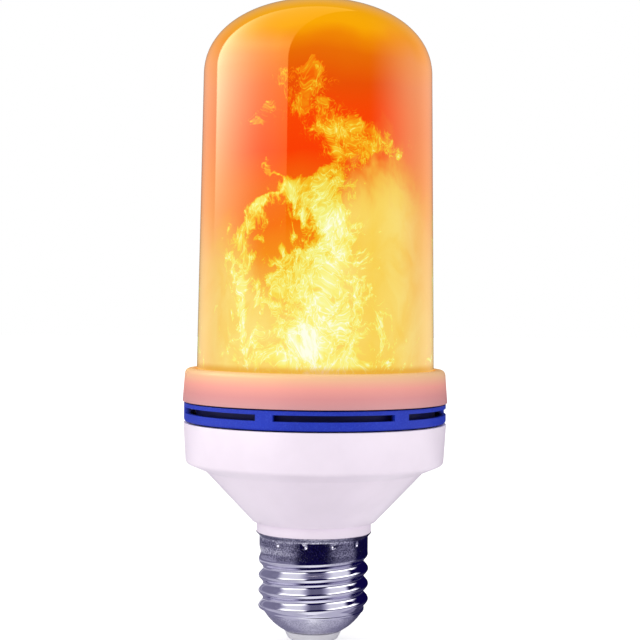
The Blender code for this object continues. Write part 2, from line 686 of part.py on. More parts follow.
def make_driver():
    """Round board with its components: two capacitors hang into the cone, the rest lie on top."""
    under = board_height()
    over = under + BOARD_THICKNESS
    board_radius = BAFFLE_RADIUS
    turned("driver_board", [
        (0.0, over),
        (board_radius, over),
        (board_radius, under),
        (0.0, under),
    ], "green_circuit", parts, ROUND_STEPS, closed=False)

    hang_foot = CONE_FOOT + WALL + CAPACITOR_SPACE
    bulk_length = under - SEAT - hang_foot
    capacitors = (
        ("bulk_capacitor", BULK_CAPACITOR_RADIUS, bulk_length, -1),
        ("output_capacitor", OUTPUT_CAPACITOR_RADIUS, min(OUTPUT_CAPACITOR_LENGTH, bulk_length), 1),
    )
    for name, radius, length, side in capacitors:
        groove = 0.12 * radius
        can = turned(name, rounded([
            (0.0, 0.0),
            (radius, 0.0),
            (radius, -1.5 * groove),
            (radius - groove, -2.5 * groove),
            (radius, -3.5 * groove),
            (radius, -length, groove),
            (0.0, -length),
        ], closed=False), "dark_sleeve", parts, SMALL_STEPS, closed=False)
        can.location = (side * (radius + CAPACITOR_SPACE / 2), 0.0, under - SEAT)

    seat = over + SEAT
    spread = 0.42 * board_radius
    inductor = turned("inductor", [
        (0.0, INDUCTOR_HEIGHT),
        (INDUCTOR_RADIUS, INDUCTOR_HEIGHT),
        (INDUCTOR_RADIUS, INDUCTOR_HEIGHT - INDUCTOR_FLANGE),
        (0.85 * INDUCTOR_RADIUS, INDUCTOR_HEIGHT - INDUCTOR_FLANGE),
        (0.85 * INDUCTOR_RADIUS, INDUCTOR_FLANGE),
        (INDUCTOR_RADIUS, INDUCTOR_FLANGE),
        (INDUCTOR_RADIUS, 0.0),
        (0.0, 0.0),
    ], "copper_winding", parts, SMALL_STEPS, closed=False)
    inductor.location = (-spread, -spread, seat)

    rectifier = boxes("bridge_rectifier", RECTIFIER_SIZE, [Matrix()], parts, "black_epoxy")
    rectifier.location = (spread, -spread, seat + RECTIFIER_SIZE[2] / 2)
    bevel(rectifier, 0.15 * RECTIFIER_SIZE[2])

    chip = boxes("control_chip", CHIP_SIZE, [Matrix()], parts, "black_epoxy")
    chip.location = (-spread, spread, seat + CHIP_SIZE[2] / 2)
    leg_places = []
    leg_drop = (LEG_SIZE[2] - CHIP_SIZE[2]) / 2
    for side in (-1, 1):
        for leg in range(CHIP_LEGS):
            along = CHIP_SIZE[0] * ((leg + 0.5) / CHIP_LEGS - 0.5)
            across = side * (CHIP_SIZE[1] + 0.5 * LEG_SIZE[1]) / 2
            leg_places.append(Matrix.Translation((along, across, leg_drop)))
    legs = boxes("chip_legs", LEG_SIZE, leg_places, cutters)
    legs.location = chip.location
    cut(chip, legs, "UNION")

    tilt = turned("tilt_switch", rounded([
        (0.0, TILT_LENGTH),
        (TILT_RADIUS, TILT_LENGTH, 0.3 * TILT_RADIUS),
        (TILT_RADIUS, 0.0),
        (0.0, 0.0),
    ], closed=False), "steel_can", parts, SMALL_STEPS, closed=False)
    tilt.rotation_euler.y = math.radians(90)
    tilt.location = (spread - TILT_LENGTH / 2, spread, seat + TILT_RADIUS)


def make_fuse_and_wires():
    """Fuse resistor on the axis above the contact's rivet, and the four wires."""
    lead_foot = RIVET_TOP + SEAT
    body_foot = lead_foot + FUSE_LEAD_LENGTH
    body_top = body_foot + FUSE_LENGTH
    lead_top = body_top + FUSE_LEAD_LENGTH / 2
    turned("fuse_resistor", rounded([
        (0.0, lead_top),
        (FUSE_LEAD_RADIUS, lead_top),
        (FUSE_LEAD_RADIUS, body_top),
        (FUSE_RADIUS, body_top, 0.3 * FUSE_RADIUS),
        (FUSE_RADIUS, body_foot, 0.3 * FUSE_RADIUS),
        (FUSE_LEAD_RADIUS, body_foot),
        (FUSE_LEAD_RADIUS, lead_foot),
        (0.0, lead_foot),
    ], closed=False), "fuse_coating", parts, SMALL_STEPS, closed=False)

    under = board_height() - SEAT
    over = board_height() + BOARD_THICKNESS + SEAT
    beside = SPIGOT_RADIUS - WALL - 2 * WIRE_RADIUS
    wire("live_wire", [
        (0.0, 0.0, lead_top + SEAT),
        (0.0, -0.3 * beside, lead_top + 4 * WIRE_RADIUS),
        (0.0, -beside, CONE_FOOT + WALL),
        (0.0, -beside, under),
    ], "red_wire")
    shell = ROOT_RADIUS - SHEET - SEAT - 1.2 * WIRE_RADIUS
    wire("neutral_wire", [
        (0.0, shell, THREAD_FOOT + 0.4 * SPIGOT_FLOOR),
        (0.0, (shell + beside) / 2, THREAD_FOOT + 0.65 * SPIGOT_FLOOR),
        (0.0, beside, SPIGOT_FOOT + 2 * WIRE_RADIUS),
        (0.0, beside, CONE_FOOT + WALL),
        (0.0, beside, under),
    ], "black_wire")
    hole = wire_hole_height()
    sheet_inside = FLEX_RADIUS - FLEX_THICKNESS - SEAT
    for name, side, finish in (("led_wire_positive", 1, "red_wire"), ("led_wire_negative", -1, "blue_wire")):
        wire(name, [
            (side * LED_WIRE_SPREAD, 0.0, over),
            (side * LED_WIRE_SPREAD, 0.0, CARRIER_TOP),
            (side * (LED_WIRE_SPREAD + 0.3 * CORE_BORE), 0.0, hole - WIRE_RADIUS),
            (side * sheet_inside, 0.0, hole),
        ], finish)


empty_scene()
parts = new_collection("flame_effect_led_bulb")
cutters = new_collection("cutters")
bulb = bpy.data.objects.new("bulb_axis", None)
parts.objects.link(bulb)
make_centre_contact()
make_insulator()
make_screw_cap()
make_housing()
make_vent_ring()
make_collar()
make_globe()
make_carrier_plate()
make_light_tube()
make_driver()
make_fuse_and_wires()
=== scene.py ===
# %% [markdown]
# # A flame effect bulb, dressed for its photograph
# The frame that is loaded here holds every piece of the bulb at its real size: globe, collar, vent
# ring, housing, screw cap, and the driver and lights inside. This lesson gives the pieces that show a
# fine mesh and every piece a finish. A bulb is nearly all turned shapes, so most meshes come from one
# function that spins an outline. The flame is no picture: it is worked out from noise, so that it
# runs all the way round the globe without a seam.

# %% Load the frame
import math

import bmesh
import bpy
from mathutils import Matrix, Vector


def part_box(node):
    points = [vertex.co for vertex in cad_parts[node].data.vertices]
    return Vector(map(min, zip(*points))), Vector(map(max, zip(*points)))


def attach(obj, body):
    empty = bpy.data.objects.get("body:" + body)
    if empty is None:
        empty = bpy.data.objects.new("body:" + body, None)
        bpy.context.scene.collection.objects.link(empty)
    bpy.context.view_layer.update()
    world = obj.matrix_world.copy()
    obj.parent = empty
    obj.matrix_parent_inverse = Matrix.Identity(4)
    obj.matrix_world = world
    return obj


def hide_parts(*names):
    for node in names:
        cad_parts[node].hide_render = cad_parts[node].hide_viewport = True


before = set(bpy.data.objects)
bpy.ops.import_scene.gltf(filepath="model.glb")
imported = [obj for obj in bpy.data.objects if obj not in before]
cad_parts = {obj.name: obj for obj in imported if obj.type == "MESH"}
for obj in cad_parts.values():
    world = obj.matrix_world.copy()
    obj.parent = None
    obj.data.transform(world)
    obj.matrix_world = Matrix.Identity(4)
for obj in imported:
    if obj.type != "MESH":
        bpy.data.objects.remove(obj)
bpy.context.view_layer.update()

MM = 0.001
print("nodes in the frame:", len(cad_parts))

# %% [markdown]
# ## Where the camera stands
# The eye is level with the lower part of the globe: the collar's rim curves down in front, and the
# dome's top is seen from below. A camera close by, with a long lens, gives that much curve. The bulb
# leans half a degree in the picture, so the camera rolls by as much. The angle of the view is kept
# as a value, because the first of the flames and the studio's lights are set by it too.

# %% Camera
VIEW_ANGLE = math.radians(-8.75)
EYE_HEIGHT = 82.7 * MM
EYE_DISTANCE = 370 * MM
FRAME_WIDTH = 153.6 * MM        # what the picture's width covers at the bulb's axis
SENSOR = 36.0
ROLL = math.radians(0.55)
PICTURE = 640
SHIFT_RIGHT = 4.05 / PICTURE
SHIFT_UP = -20.0 / PICTURE


def in_scene(name, data):
    """A new object for a mesh, a light or a camera."""
    thing = bpy.data.objects.new(name, data)
    bpy.context.scene.collection.objects.link(thing)
    return thing


towards_eye = Vector((math.sin(VIEW_ANGLE), -math.cos(VIEW_ANGLE), 0.0))
to_the_right = Vector((math.cos(VIEW_ANGLE), math.sin(VIEW_ANGLE), 0.0))
camera_data = bpy.data.cameras.new("camera")
camera_data.sensor_width = SENSOR
camera_data.lens = SENSOR * EYE_DISTANCE / FRAME_WIDTH
camera_data.shift_x = SHIFT_RIGHT
camera_data.shift_y = SHIFT_UP
camera_data.clip_start = 10 * MM
camera = in_scene("camera", camera_data)
upright = Matrix((to_the_right, (0.0, 0.0, 1.0), towards_eye)).transposed().to_4x4()
camera.matrix_world = (Matrix.Translation(towards_eye * EYE_DISTANCE + Vector((0.0, 0.0, EYE_HEIGHT)))
                       @ upright @ Matrix.Rotation(ROLL, 4, "Z"))
bpy.context.scene.camera = camera
print("lens", round(camera_data.lens, 1), "mm")

# %% [markdown]
# ## Shader sums in Python
# A finish is easier to read as a formula than as a web of nodes. `Wire` wraps one output socket, and
# its signs add Math nodes, also with a plain number on the left. `Bench` holds one material's tree
# and makes every other node: its settings first, then what goes into its sockets.

# %% Wires
class Wire:
    """A number or colour that flows through a shader."""

    def __init__(self, bench, socket):
        self.bench = bench
        self.socket = socket

    def math(self, operation, *others):
        return self.bench.node("ShaderNodeMath", {"operation": operation}, dict(enumerate([self, *others])))

    def __add__(self, other):
        return self.math("ADD", other)

    __radd__ = __add__

    def __mul__(self, other):
        return self.math("MULTIPLY", other)

    __rmul__ = __mul__

    def __sub__(self, other):
        return self.math("SUBTRACT", other)

    def __rsub__(self, other):
        return (self * -1.0) + other

    def __truediv__(self, other):
        return self.math("DIVIDE", other)

    def __pow__(self, other):
        return self.math("POWER", other)

    def __abs__(self):
        return self.math("ABSOLUTE")

    def clipped(self):
        return self.math("MAXIMUM", 0.0).math("MINIMUM", 1.0)

    def step(self, low, high):
        """0 below low and 1 above high, smooth in between; low may be the larger one."""
        return self.bench.node("ShaderNodeMapRange", {"interpolation_type": "SMOOTHSTEP"},
                               {"Value": self, "From Min": low, "From Max": high})


print("signs that a wire knows: + - * / ** abs")

# %% Benches
class Bench:
    """One tree of shader nodes."""

    def __init__(self, owner):
        owner.use_nodes = True
        self.tree = owner.node_tree
        self.tree.nodes.clear()

    def node(self, kind, settings=None, inputs=None, output=0):
        made = self.tree.nodes.new(kind)
        for name, value in (settings or {}).items():
            if name == "stops":
                self.set_stops(made.color_ramp, value)
            elif name == "points":
                self.set_points(made, value)
            else:
                setattr(made, name, value)
        for key, value in (inputs or {}).items():
            self.feed(self.find(made.inputs, key), value)
        return Wire(self, self.find(made.outputs, output))

    def find(self, sockets, key):
        if isinstance(key, int):
            return sockets[key]
        for socket in sockets:
            if socket.identifier == key:
                return socket
        return sockets[key]

    def feed(self, socket, value):
        if isinstance(value, Wire):
            self.tree.links.new(value.socket, socket)
        elif isinstance(value, tuple) and len(value) == 3 and socket.type == "RGBA":
            socket.default_value = (*value, 1.0)
        else:
            socket.default_value = value

    def set_stops(self, ramp, stops):
        while len(ramp.elements) < len(stops):
            ramp.elements.new(1.0)
        for element, (place, colour) in zip(ramp.elements, stops):
            element.position = place
            element.color = (*colour, 1.0)

    def set_points(self, made, points):
        curve = made.mapping.curves[0]
        while len(curve.points) < len(points):
            curve.points.new(1.0, 1.0)
        for spot, (place, height) in zip(curve.points, points):
            spot.location = (place, height)
        made.mapping.update()

    def blend(self, share, first, second, mode="MIX"):
        """A colour between two, or one laid over the other in another mode."""
        return self.node("ShaderNodeMix", {"data_type": "RGBA", "blend_type": mode},
                         {"Factor_Float": share, "A_Color": first, "B_Color": second}, "Result_Color")

    def vector(self, operation, first, second):
        return self.node("ShaderNodeVectorMath", {"operation": operation}, {0: first, 1: second})

    def place(self):
        """The point on the piece, in millimetres."""
        spot = self.node("ShaderNodeTexCoord", output="Object")
        return self.vector("MULTIPLY", spot, (1 / MM, 1 / MM, 1 / MM))

    def axes(self, spot):
        """A point's x, y and z, each as a wire."""
        outputs = self.node("ShaderNodeSeparateXYZ", {}, {0: spot}).socket.node.outputs
        return [Wire(self, outputs[name]) for name in "XYZ"]

    def noise(self, spot, scale, detail=3.0, roughness=0.5, output=0):
        return self.node("ShaderNodeTexNoise", {}, {
            "Vector": spot, "Scale": scale, "Detail": detail, "Roughness": roughness}, output)

    def ramp(self, share, stops):
        """A colour for every share from 0 to 1, between stops of a place and a colour."""
        return self.node("ShaderNodeValToRGB", {"stops": stops}, {"Fac": share}, "Color")

    def bump(self, strength, depth, height):
        """A surface that catches light as if it had these heights; depth is in millimetres."""
        return self.node("ShaderNodeBump", {}, {
            "Strength": strength, "Distance": depth * MM, "Height": height})

    def finish(self, shader, output_kind="ShaderNodeOutputMaterial"):
        result = self.tree.nodes.new(output_kind)
        self.tree.links.new(shader.socket, result.inputs["Surface"])


print("what a bench does:", ", ".join(name for name in vars(Bench) if not name.startswith("_")))

# %% Colours and materials
def paint(red, green, blue):
    """A colour given on the 0 to 255 scale, as the light that a shader counts in."""
    shares = (red / 255, green / 255, blue / 255)
    return tuple(s / 12.92 if s <= 0.04045 else ((s + 0.055) / 1.055) ** 2.4 for s in shares)


def new_material(name):
    material = bpy.data.materials.new(name)
    return material, Bench(material)


print("a mid orange is", [round(v, 3) for v in paint(250, 120, 20)])

# %% [markdown]
# ## Moulded plastic
# The housing, the collar and the ring come out of polished moulds with a faint grain. One recipe
# serves them all: a base colour that drifts a little, a roughness that breathes, and a bump too low
# to see as a shape but enough to soften a reflection. Each piece only differs in its colour, its
# grain's size and its gloss.

# %% Plastic recipe
CLOUD_SCALE = 0.12
BREATH = 0.08                   # how far the roughness swings
GRAIN_STRENGTH = 0.6


def plastic(name, colour, rough=0.42, grain=0.35, depth=0.02, drift=0.04, shine=0.5, tint=None):
    """Grain and its depth are in millimetres; tint may change the colour from place to place."""
    material, bench = new_material(name)
    spot = bench.place()
    cloud = bench.noise(spot, CLOUD_SCALE, 3.0)
    grit = bench.noise(spot, 1 / grain, 2.0, 0.6)
    darker = tuple(channel * (1 - 2 * drift) for channel in colour)
    base = bench.blend(cloud.step(0.3, 0.7), colour, darker)
    if tint:
        base = tint(bench, base)
    shader = bench.node("ShaderNodeBsdfPrincipled", {}, {
        "Base Color": base, "Roughness": cloud * BREATH + (rough - BREATH / 2),
        "Specular IOR Level": shine, "Normal": bench.bump(GRAIN_STRENGTH, depth, grit)})
    bench.finish(shader)
    return material


print("the plastic's clouds are about", round(1 / CLOUD_SCALE, 1), "mm across")

# %% [markdown]
# ## Turning an outline
# On a lathe, one outline makes the whole piece. `turn` spins a closed outline of (radius, height)
# corners round the bulb's axis and can be asked for as many steps as the surface needs. Corners get a
# real radius first, because an edge without one never catches the light.

# %% Rounded outlines
CORNER_SHARE = 0.48             # a corner's arc takes at most this share of each stretch beside it


def rounded(corners, steps=5, closed=True):
    """Corners (x, y, radius) with their radius as an arc; a corner without one stays sharp."""
    points = []
    for index, corner in enumerate(corners):
        here = Vector(corner[:2])
        at_end = not closed and index in (0, len(corners) - 1)
        if len(corner) == 2 or at_end:
            points.append(here)
            continue
        back = Vector(corners[index - 1][:2]) - here
        ahead = Vector(corners[(index + 1) % len(corners)][:2]) - here
        half_angle = back.angle(ahead) / 2
        run = min(corner[2] / math.tan(half_angle), CORNER_SHARE * back.length, CORNER_SHARE * ahead.length)
        radius = run * math.tan(half_angle)
        centre = here + (back.normalized() + ahead.normalized()).normalized() * radius / math.sin(half_angle)
        start = here + back.normalized() * run - centre
        end = here + ahead.normalized() * run - centre
        turned_by = math.atan2(start.x * end.y - start.y * end.x, start.dot(end))
        for step in range(steps + 1):
            points.append(centre + Matrix.Rotation(turned_by * step / steps, 2) @ start)
    return points


print("points of a square with round corners:", len(rounded([(0, 0, 1), (9, 0, 1), (9, 9, 1), (0, 9, 1)])))

# %% Turned meshes
SHARP_ANGLE = 35                # degrees between two faces, above which their edge shows


def smooth(mesh, sharp_angle=SHARP_ANGLE):
    """Shade a mesh smoothly, apart from its sharp edges."""
    mesh.shade_smooth()
    mesh.set_sharp_from_angle(angle=math.radians(sharp_angle))


def new_piece(name, vertices, faces, sharp_angle=SHARP_ANGLE):
    mesh = bpy.data.meshes.new(name)
    mesh.from_pydata(vertices, [], faces)
    mesh.validate()
    smooth(mesh, sharp_angle)
    return in_scene(name, mesh)


def turn(name, outline, steps, shape=None, sharp_angle=SHARP_ANGLE):
    """Spin a closed outline that runs down its outer side; shape may move each point."""
    vertices = []
    for step in range(steps):
        angle = math.tau * step / steps
        for radius, height in outline:
            if shape:
                radius, height = shape(angle, radius, height)
            vertices.append((radius * math.cos(angle), radius * math.sin(angle), height))
    rows = len(outline)
    faces = []
    for step in range(steps):
        here = step * rows
        after = (step + 1) % steps * rows
        for row in range(rows):
            below = (row + 1) % rows
            faces.append((here + row, here + below, after + below, after + row))
    return new_piece(name, vertices, faces, sharp_angle)


print("edges of more than", SHARP_ANGLE, "degrees stay sharp")

# %% [markdown]
# ## Standing in for a node
# The frame's solids are true but coarse. A piece that shows gets a finer mesh of the same form, which
# rides on the same body and takes its node's place. It could be drawn from written sizes, but its
# outer ones are read from the node's box, so that the two can't drift apart.

# %% Pieces that stand for a node
def dress(piece, node, material):
    """Let this piece stand for a CAD node, with its finish."""
    piece.data.materials.clear()
    piece.data.materials.append(material)
    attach(piece, "root")
    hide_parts(node)
    print(piece.name, len(piece.data.polygons), "faces")


def reach(node):
    """A turned node's outer radius, foot and top."""
    low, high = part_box(node)
    return high.x, low.z, high.z


print("the globe's radius, foot and top:", [round(size / MM, 2) for size in reach("globe")], "mm")

# %% [markdown]
# ## The globe
# The globe is one moulding: a side that draws in slightly towards the top, so that it leaves the
# mould, and a squarish dome, which a plain half circle would make too pointed. The curve is a
# superellipse a little squarer than an ellipse. The wall is a true one, with an inner face.

# %% Globe mesh
GLOBE_STEPS = 160
GLOBE_WALL = 1.6 * MM
GLOBE_TAPER = 1.05 * MM
FLANGE_WIDTH = 0.7 * MM
FLANGE_HEIGHT = 1.6 * MM
DOME_HEIGHT = 18.2 * MM
DOME_SQUARENESS = 2.14
DOME_ROWS = 40
SIDE_ROWS = 10
TIP_OPENING = 0.0002            # keeps the dome's tip from folding into one point

flange_radius, globe_foot, globe_top = reach("globe")
globe_radius = flange_radius - FLANGE_WIDTH
dome_foot = globe_top - DOME_HEIGHT
flange_top = globe_foot + FLANGE_HEIGHT


def dome_line(radius, height):
    """Points from the dome's tip down to its foot."""
    points = []
    for row in range(DOME_ROWS + 1):
        angle = math.radians(90) * (1 - row / DOME_ROWS)
        across = max(math.cos(angle), TIP_OPENING) ** (2 / DOME_SQUARENESS)
        up = max(math.sin(angle), 0.0) ** (2 / DOME_SQUARENESS)
        points.append(Vector((radius * across, dome_foot + height * up)))
    return points


outside = dome_line(globe_radius - GLOBE_TAPER, DOME_HEIGHT)
inside = dome_line(globe_radius - GLOBE_TAPER - GLOBE_WALL, DOME_HEIGHT - GLOBE_WALL)
side_rows = []
for row in range(1, SIDE_ROWS + 1):
    share = row / SIDE_ROWS
    radius = globe_radius - GLOBE_TAPER * (1 - share)
    side_rows.append(Vector((radius, dome_foot + (flange_top - dome_foot) * share)))
foot = [
    Vector((flange_radius, flange_top)),
    Vector((flange_radius, globe_foot)),
    Vector((globe_radius - GLOBE_WALL, globe_foot)),
]
globe = turn("globe_shell", outside + side_rows + foot + inside[::-1], GLOBE_STEPS)
print("globe shell:", len(globe.data.polygons), "faces")

# %% [markdown]
# ## The flame's ribbons
# Such a bulb has no flame in it. Rows of small lights fade up and down behind a frosted wall, and what
# one sees is a soft column of colour with licks at its edge. It could be a painted picture, but two
# ribbons and some noise go round the globe without a seam. The trunk is wide at its foot, narrows to a
# shoulder and bends right in a hook. The branch stands at the left and ends in two small free wisps.

# %% Ribbons of the flame
FLAME_FOOT = 66.0               # millimetres above the contact
FLAME_TIP = 141.0

# share of the flame's height, then centre and half width as shares of the globe's radius;
# a half width below 0 leaves a gap
FLAME_TRUNK = [
    (0.00, -0.02, 0.88),
    (0.10, -0.02, 0.86),
    (0.22, 0.00, 0.78),
    (0.30, 0.00, 0.66),
    (0.36, 0.09, 0.46),
    (0.45, 0.16, 0.34),
    (0.48, 0.13, 0.35),
    (0.52, 0.07, 0.39),
    (0.56, 0.03, 0.35),
    (0.58, 0.07, 0.27),
    (0.60, 0.13, 0.16),
    (0.62, 0.26, 0.13),
    (0.65, 0.34, 0.17),
    (0.69, 0.40, 0.25),
    (0.73, 0.32, 0.27),
    (0.77, 0.15, 0.23),
    (0.80, -0.03, 0.19),
    (0.85, -0.09, 0.18),
    (0.90, -0.12, 0.16),
    (0.93, -0.10, 0.08),
    (1.00, -0.04, -0.30),
]
FLAME_BRANCH = [
    (0.00, -0.50, 0.00),
    (0.14, -0.56, 0.14),
    (0.25, -0.60, 0.17),
    (0.36, -0.62, 0.18),
    (0.45, -0.55, 0.18),
    (0.50, -0.45, 0.16),
    (0.53, -0.36, 0.10),
    (0.56, -0.22, 0.02),
    (0.60, -0.36, 0.02),
    (0.62, -0.40, 0.06),
    (0.65, -0.41, -0.04),
    (0.71, -0.42, -0.04),
    (0.75, -0.45, 0.08),
    (0.78, -0.42, 0.10),
    (0.80, -0.40, 0.00),
    (1.00, -0.40, -0.30),
]
print("rows of the trunk and the branch:", len(FLAME_TRUNK), len(FLAME_BRANCH))

# %% [markdown]
# ## Where a point lies in the flame
# The formula starts from a point's angle round the bulb and its height. Three columns stand round the
# globe, so that there is a flame from every side, and the first faces the photograph. The noise that
# tears them could be laid on a map, but it is taken in space, so that the three aren't alike and
# nothing is stretched at the edges.

# %% Places in a column
COLUMNS = 3
GAP_DEPTH = 40.0                # how steeply a ribbon sinks where its half width is below 0
SPARE_WIDTH = 0.02              # every ribbon is wider than its row says by this much
THINNEST = 0.005


def from_camera(x, y):
    """How far a point lies towards the camera, and how far to the right of it."""
    return x * towards_eye.x + y * towards_eye.y, x * to_the_right.x + y * to_the_right.y


def flame_place(bench, spot, columns=COLUMNS):
    """Sideways share of the radius in a point's own column, and its height in millimetres."""
    x, y, z = bench.axes(spot)
    towards, across = from_camera(x, y)
    angle = across.math("ARCTAN2", towards)
    half_slice = math.pi / columns
    return angle.math("WRAP", half_slice, -half_slice).math("SINE"), z


def follow(bench, share, ribbon, column):
    """A ribbon's centre (column 1) or half width (column 2) at this share of the height."""
    points = [(row[0], 0.5 + row[column] / 2) for row in ribbon]
    return bench.node("ShaderNodeFloatCurve", {"points": points}, {"Value": share}) * 2.0 - 1.0


def within(bench, side, share, ribbon):
    """1 on a ribbon's centre line, 0 at its edge, less outside and far less in its gaps."""
    away = abs(side - follow(bench, share, ribbon, 1))
    half = follow(bench, share, ribbon, 2)
    gap = (half * -GAP_DEPTH).math("MAXIMUM", 0.0)
    return 1.0 - away / (half + SPARE_WIDTH).math("MAXIMUM", THINNEST) - gap


print("each column covers", 360 // COLUMNS, "degrees")

# %% Swirls and threads
SWIRL_STRETCH = (1.0, 1.0, 0.55)    # flames rise, so what tears them is tall
THREAD_STRETCH = (1.0, 1.0, 0.6)


def swirled(bench, spot, size, push):
    """The point, pushed about by a swirl of this size."""
    tall = bench.vector("MULTIPLY", spot, SWIRL_STRETCH)
    swirl = bench.noise(tall, 1 / size, 1.0, output="Color")
    centred = bench.vector("SUBTRACT", swirl, (0.5, 0.5, 0.5))
    return bench.vector("ADD", spot, bench.vector("MULTIPLY", centred, (push, push, push)))


def threads(bench, spot, size, count, sharpness):
    """Fine bright lines like the folds of a veil: contour lines of a smooth noise."""
    hills = bench.noise(bench.vector("MULTIPLY", spot, THREAD_STRETCH), 1 / size, 1.5, 0.5)
    return (1.0 - abs((hills * (math.pi * count)).math("SINE"))) ** sharpness


print("a swirl is", round(1 / SWIRL_STRETCH[2], 1), "times as tall as it is wide")

# %% [markdown]
# ## The glow behind the flame
# Behind the licks the globe glows by itself: amber in the dome, red-orange below it, gold at the foot and
# peach at its edges as the camera sees them, with a golden haze that stands highest at the right. The pale
# peach edges are partly the glow and partly a painted reflection of the white room round the globe. One
# colour ramp by height could not give the pale edges, so there are two, for the middle and the edges, and
# the haze is laid over both.

# %% Colours of the glow
GLOW_FOOT = 66.0
GLOW_TOP = 155.0
GLOW_DRIFT = 0.06
HAZE_DRIFT = 0.24

# sideways place, then how high the golden haze stands there, as a share of the glow's height
HAZE_EDGE = [
    (-1.00, 0.36),
    (-0.60, 0.30),
    (-0.40, 0.22),
    (-0.20, 0.20),
    (0.05, 0.30),
    (0.20, 0.46),
    (0.35, 0.51),
    (0.60, 0.54),
    (0.80, 0.50),
    (1.00, 0.40),
]
GLOW_MIDDLE = [
    (0.00, (250, 200, 95)),
    (0.18, (250, 188, 80)),
    (0.30, (246, 142, 24)),
    (0.38, (246, 112, 4)),
    (0.47, (243, 104, 12)),
    (0.56, (250, 62, 1)),
    (0.66, (249, 70, 2)),
    (0.735, (234, 80, 3)),
    (0.815, (233, 108, 3)),
    (0.85, (240, 134, 2)),
    (0.885, (250, 168, 2)),
    (0.93, (251, 174, 2)),
    (1.00, (250, 181, 4)),
]
GLOW_EDGE = [
    (0.00, (255, 208, 140)),
    (0.12, (255, 211, 140)),
    (0.30, (255, 194, 128)),
    (0.41, (255, 172, 104)),
    (0.50, (254, 165, 100)),
    (0.62, (253, 160, 106)),
    (0.74, (253, 166, 114)),
    (0.81, (254, 170, 104)),
    (0.86, (255, 164, 56)),
    (0.92, (253, 174, 14)),
    (1.00, (250, 181, 4)),
]
print("colours of the glow:", len(GLOW_MIDDLE), "in the middle,", len(GLOW_EDGE), "at the edges")

# %% Glow
def glow_ramp(bench, share, stops):
    return bench.ramp(share, [(at, paint(*colour)) for at, colour in stops])


def glow_behind(bench, side, height, soft, cloud):
    """The colour of the globe where no lick passes."""
    share = ((height - GLOW_FOOT) / (GLOW_TOP - GLOW_FOOT) + (soft - 0.5) * GLOW_DRIFT).clipped()
    middle = glow_ramp(bench, share, GLOW_MIDDLE)
    edge = glow_ramp(bench, share, GLOW_EDGE)
    # paler towards the globe's sides as the camera sees them: partly glow, partly painted reflection of the
    # white room
    glow = bench.blend(abs(side).step(0.40, 1.0), middle, edge)
    points = [((at + 1) / 2, top) for at, top in HAZE_EDGE]
    haze_top = bench.node("ShaderNodeFloatCurve", {"points": points}, {"Value": side * 0.5 + 0.5})
    haze = (share - haze_top + (cloud - 0.5) * HAZE_DRIFT).step(0.09, -0.10)
    golden = glow_ramp(bench, (haze * 0.6 + (cloud - 0.5) * 1.2 + 0.2).clipped(), [
        (0.0, (248, 160, 40)),
        (0.5, (250, 206, 90)),
        (1.0, (253, 228, 130)),
    ])
    deep = (1.0 - abs(side - 0.45) / 0.32).clipped() * 0.65
    golden = bench.blend(deep, golden, paint(249, 207, 66))
    return bench.blend(haze * (1.0 - abs(side).step(0.62, 0.96) * 0.75), glow, golden)


print("the glow runs from", GLOW_FOOT, "to", GLOW_TOP, "mm")

# %% [markdown]
# ## The flame's heat
# Heat is one number, and a ramp turns it into orange, yellow and almost white. It could be noise
# alone, but it needs a form: it comes from the ribbons, a core low in the middle, a white spot near
# the foot, a veil of threads in three sizes, and cooler pockets where the flame is torn.

# %% Parts of the heat
HOOK_START = (0.62, 0.66)       # shares of the flame's height
HOOK_END = (0.78, 0.73)
HOOK_WIDER = 0.30
WHITE_SIDE = -0.09
WHITE_HALF_WIDTH = 0.24
WHITE_SHARE = 0.09
WHITE_HALF_HEIGHT = 0.10
CORE_HALF_WIDTH = 0.34
TIP_FADE = 8.0

# what each part adds to the heat
BODY_HEAT = 0.17
LOW_HEAT = 0.39
LOWEST_HEAT = 0.05
HOOK_HEAT = 0.16
CORE_HEAT = 0.22
TORN_HEAT = 0.85
WHITE_HEAT = 0.15
LICK_HEAT = 0.14
VEIL_HEAT = 0.42
LOW_VEIL_LOSS = 0.08
print("the white spot adds", WHITE_HEAT, "and the hook", HOOK_HEAT)

# %% Heat
def veil_of_threads(bench, curl):
    """Threads of three sizes, the finer ones bent once more."""
    fine = swirled(bench, curl, 0.9, 0.8)
    return (threads(bench, curl, 5.5, 3.0, 5.0) * 0.24 + threads(bench, fine, 2.8, 4.0, 5.0) * 0.40
            + threads(bench, fine, 1.5, 5.0, 3.0) * 0.58)


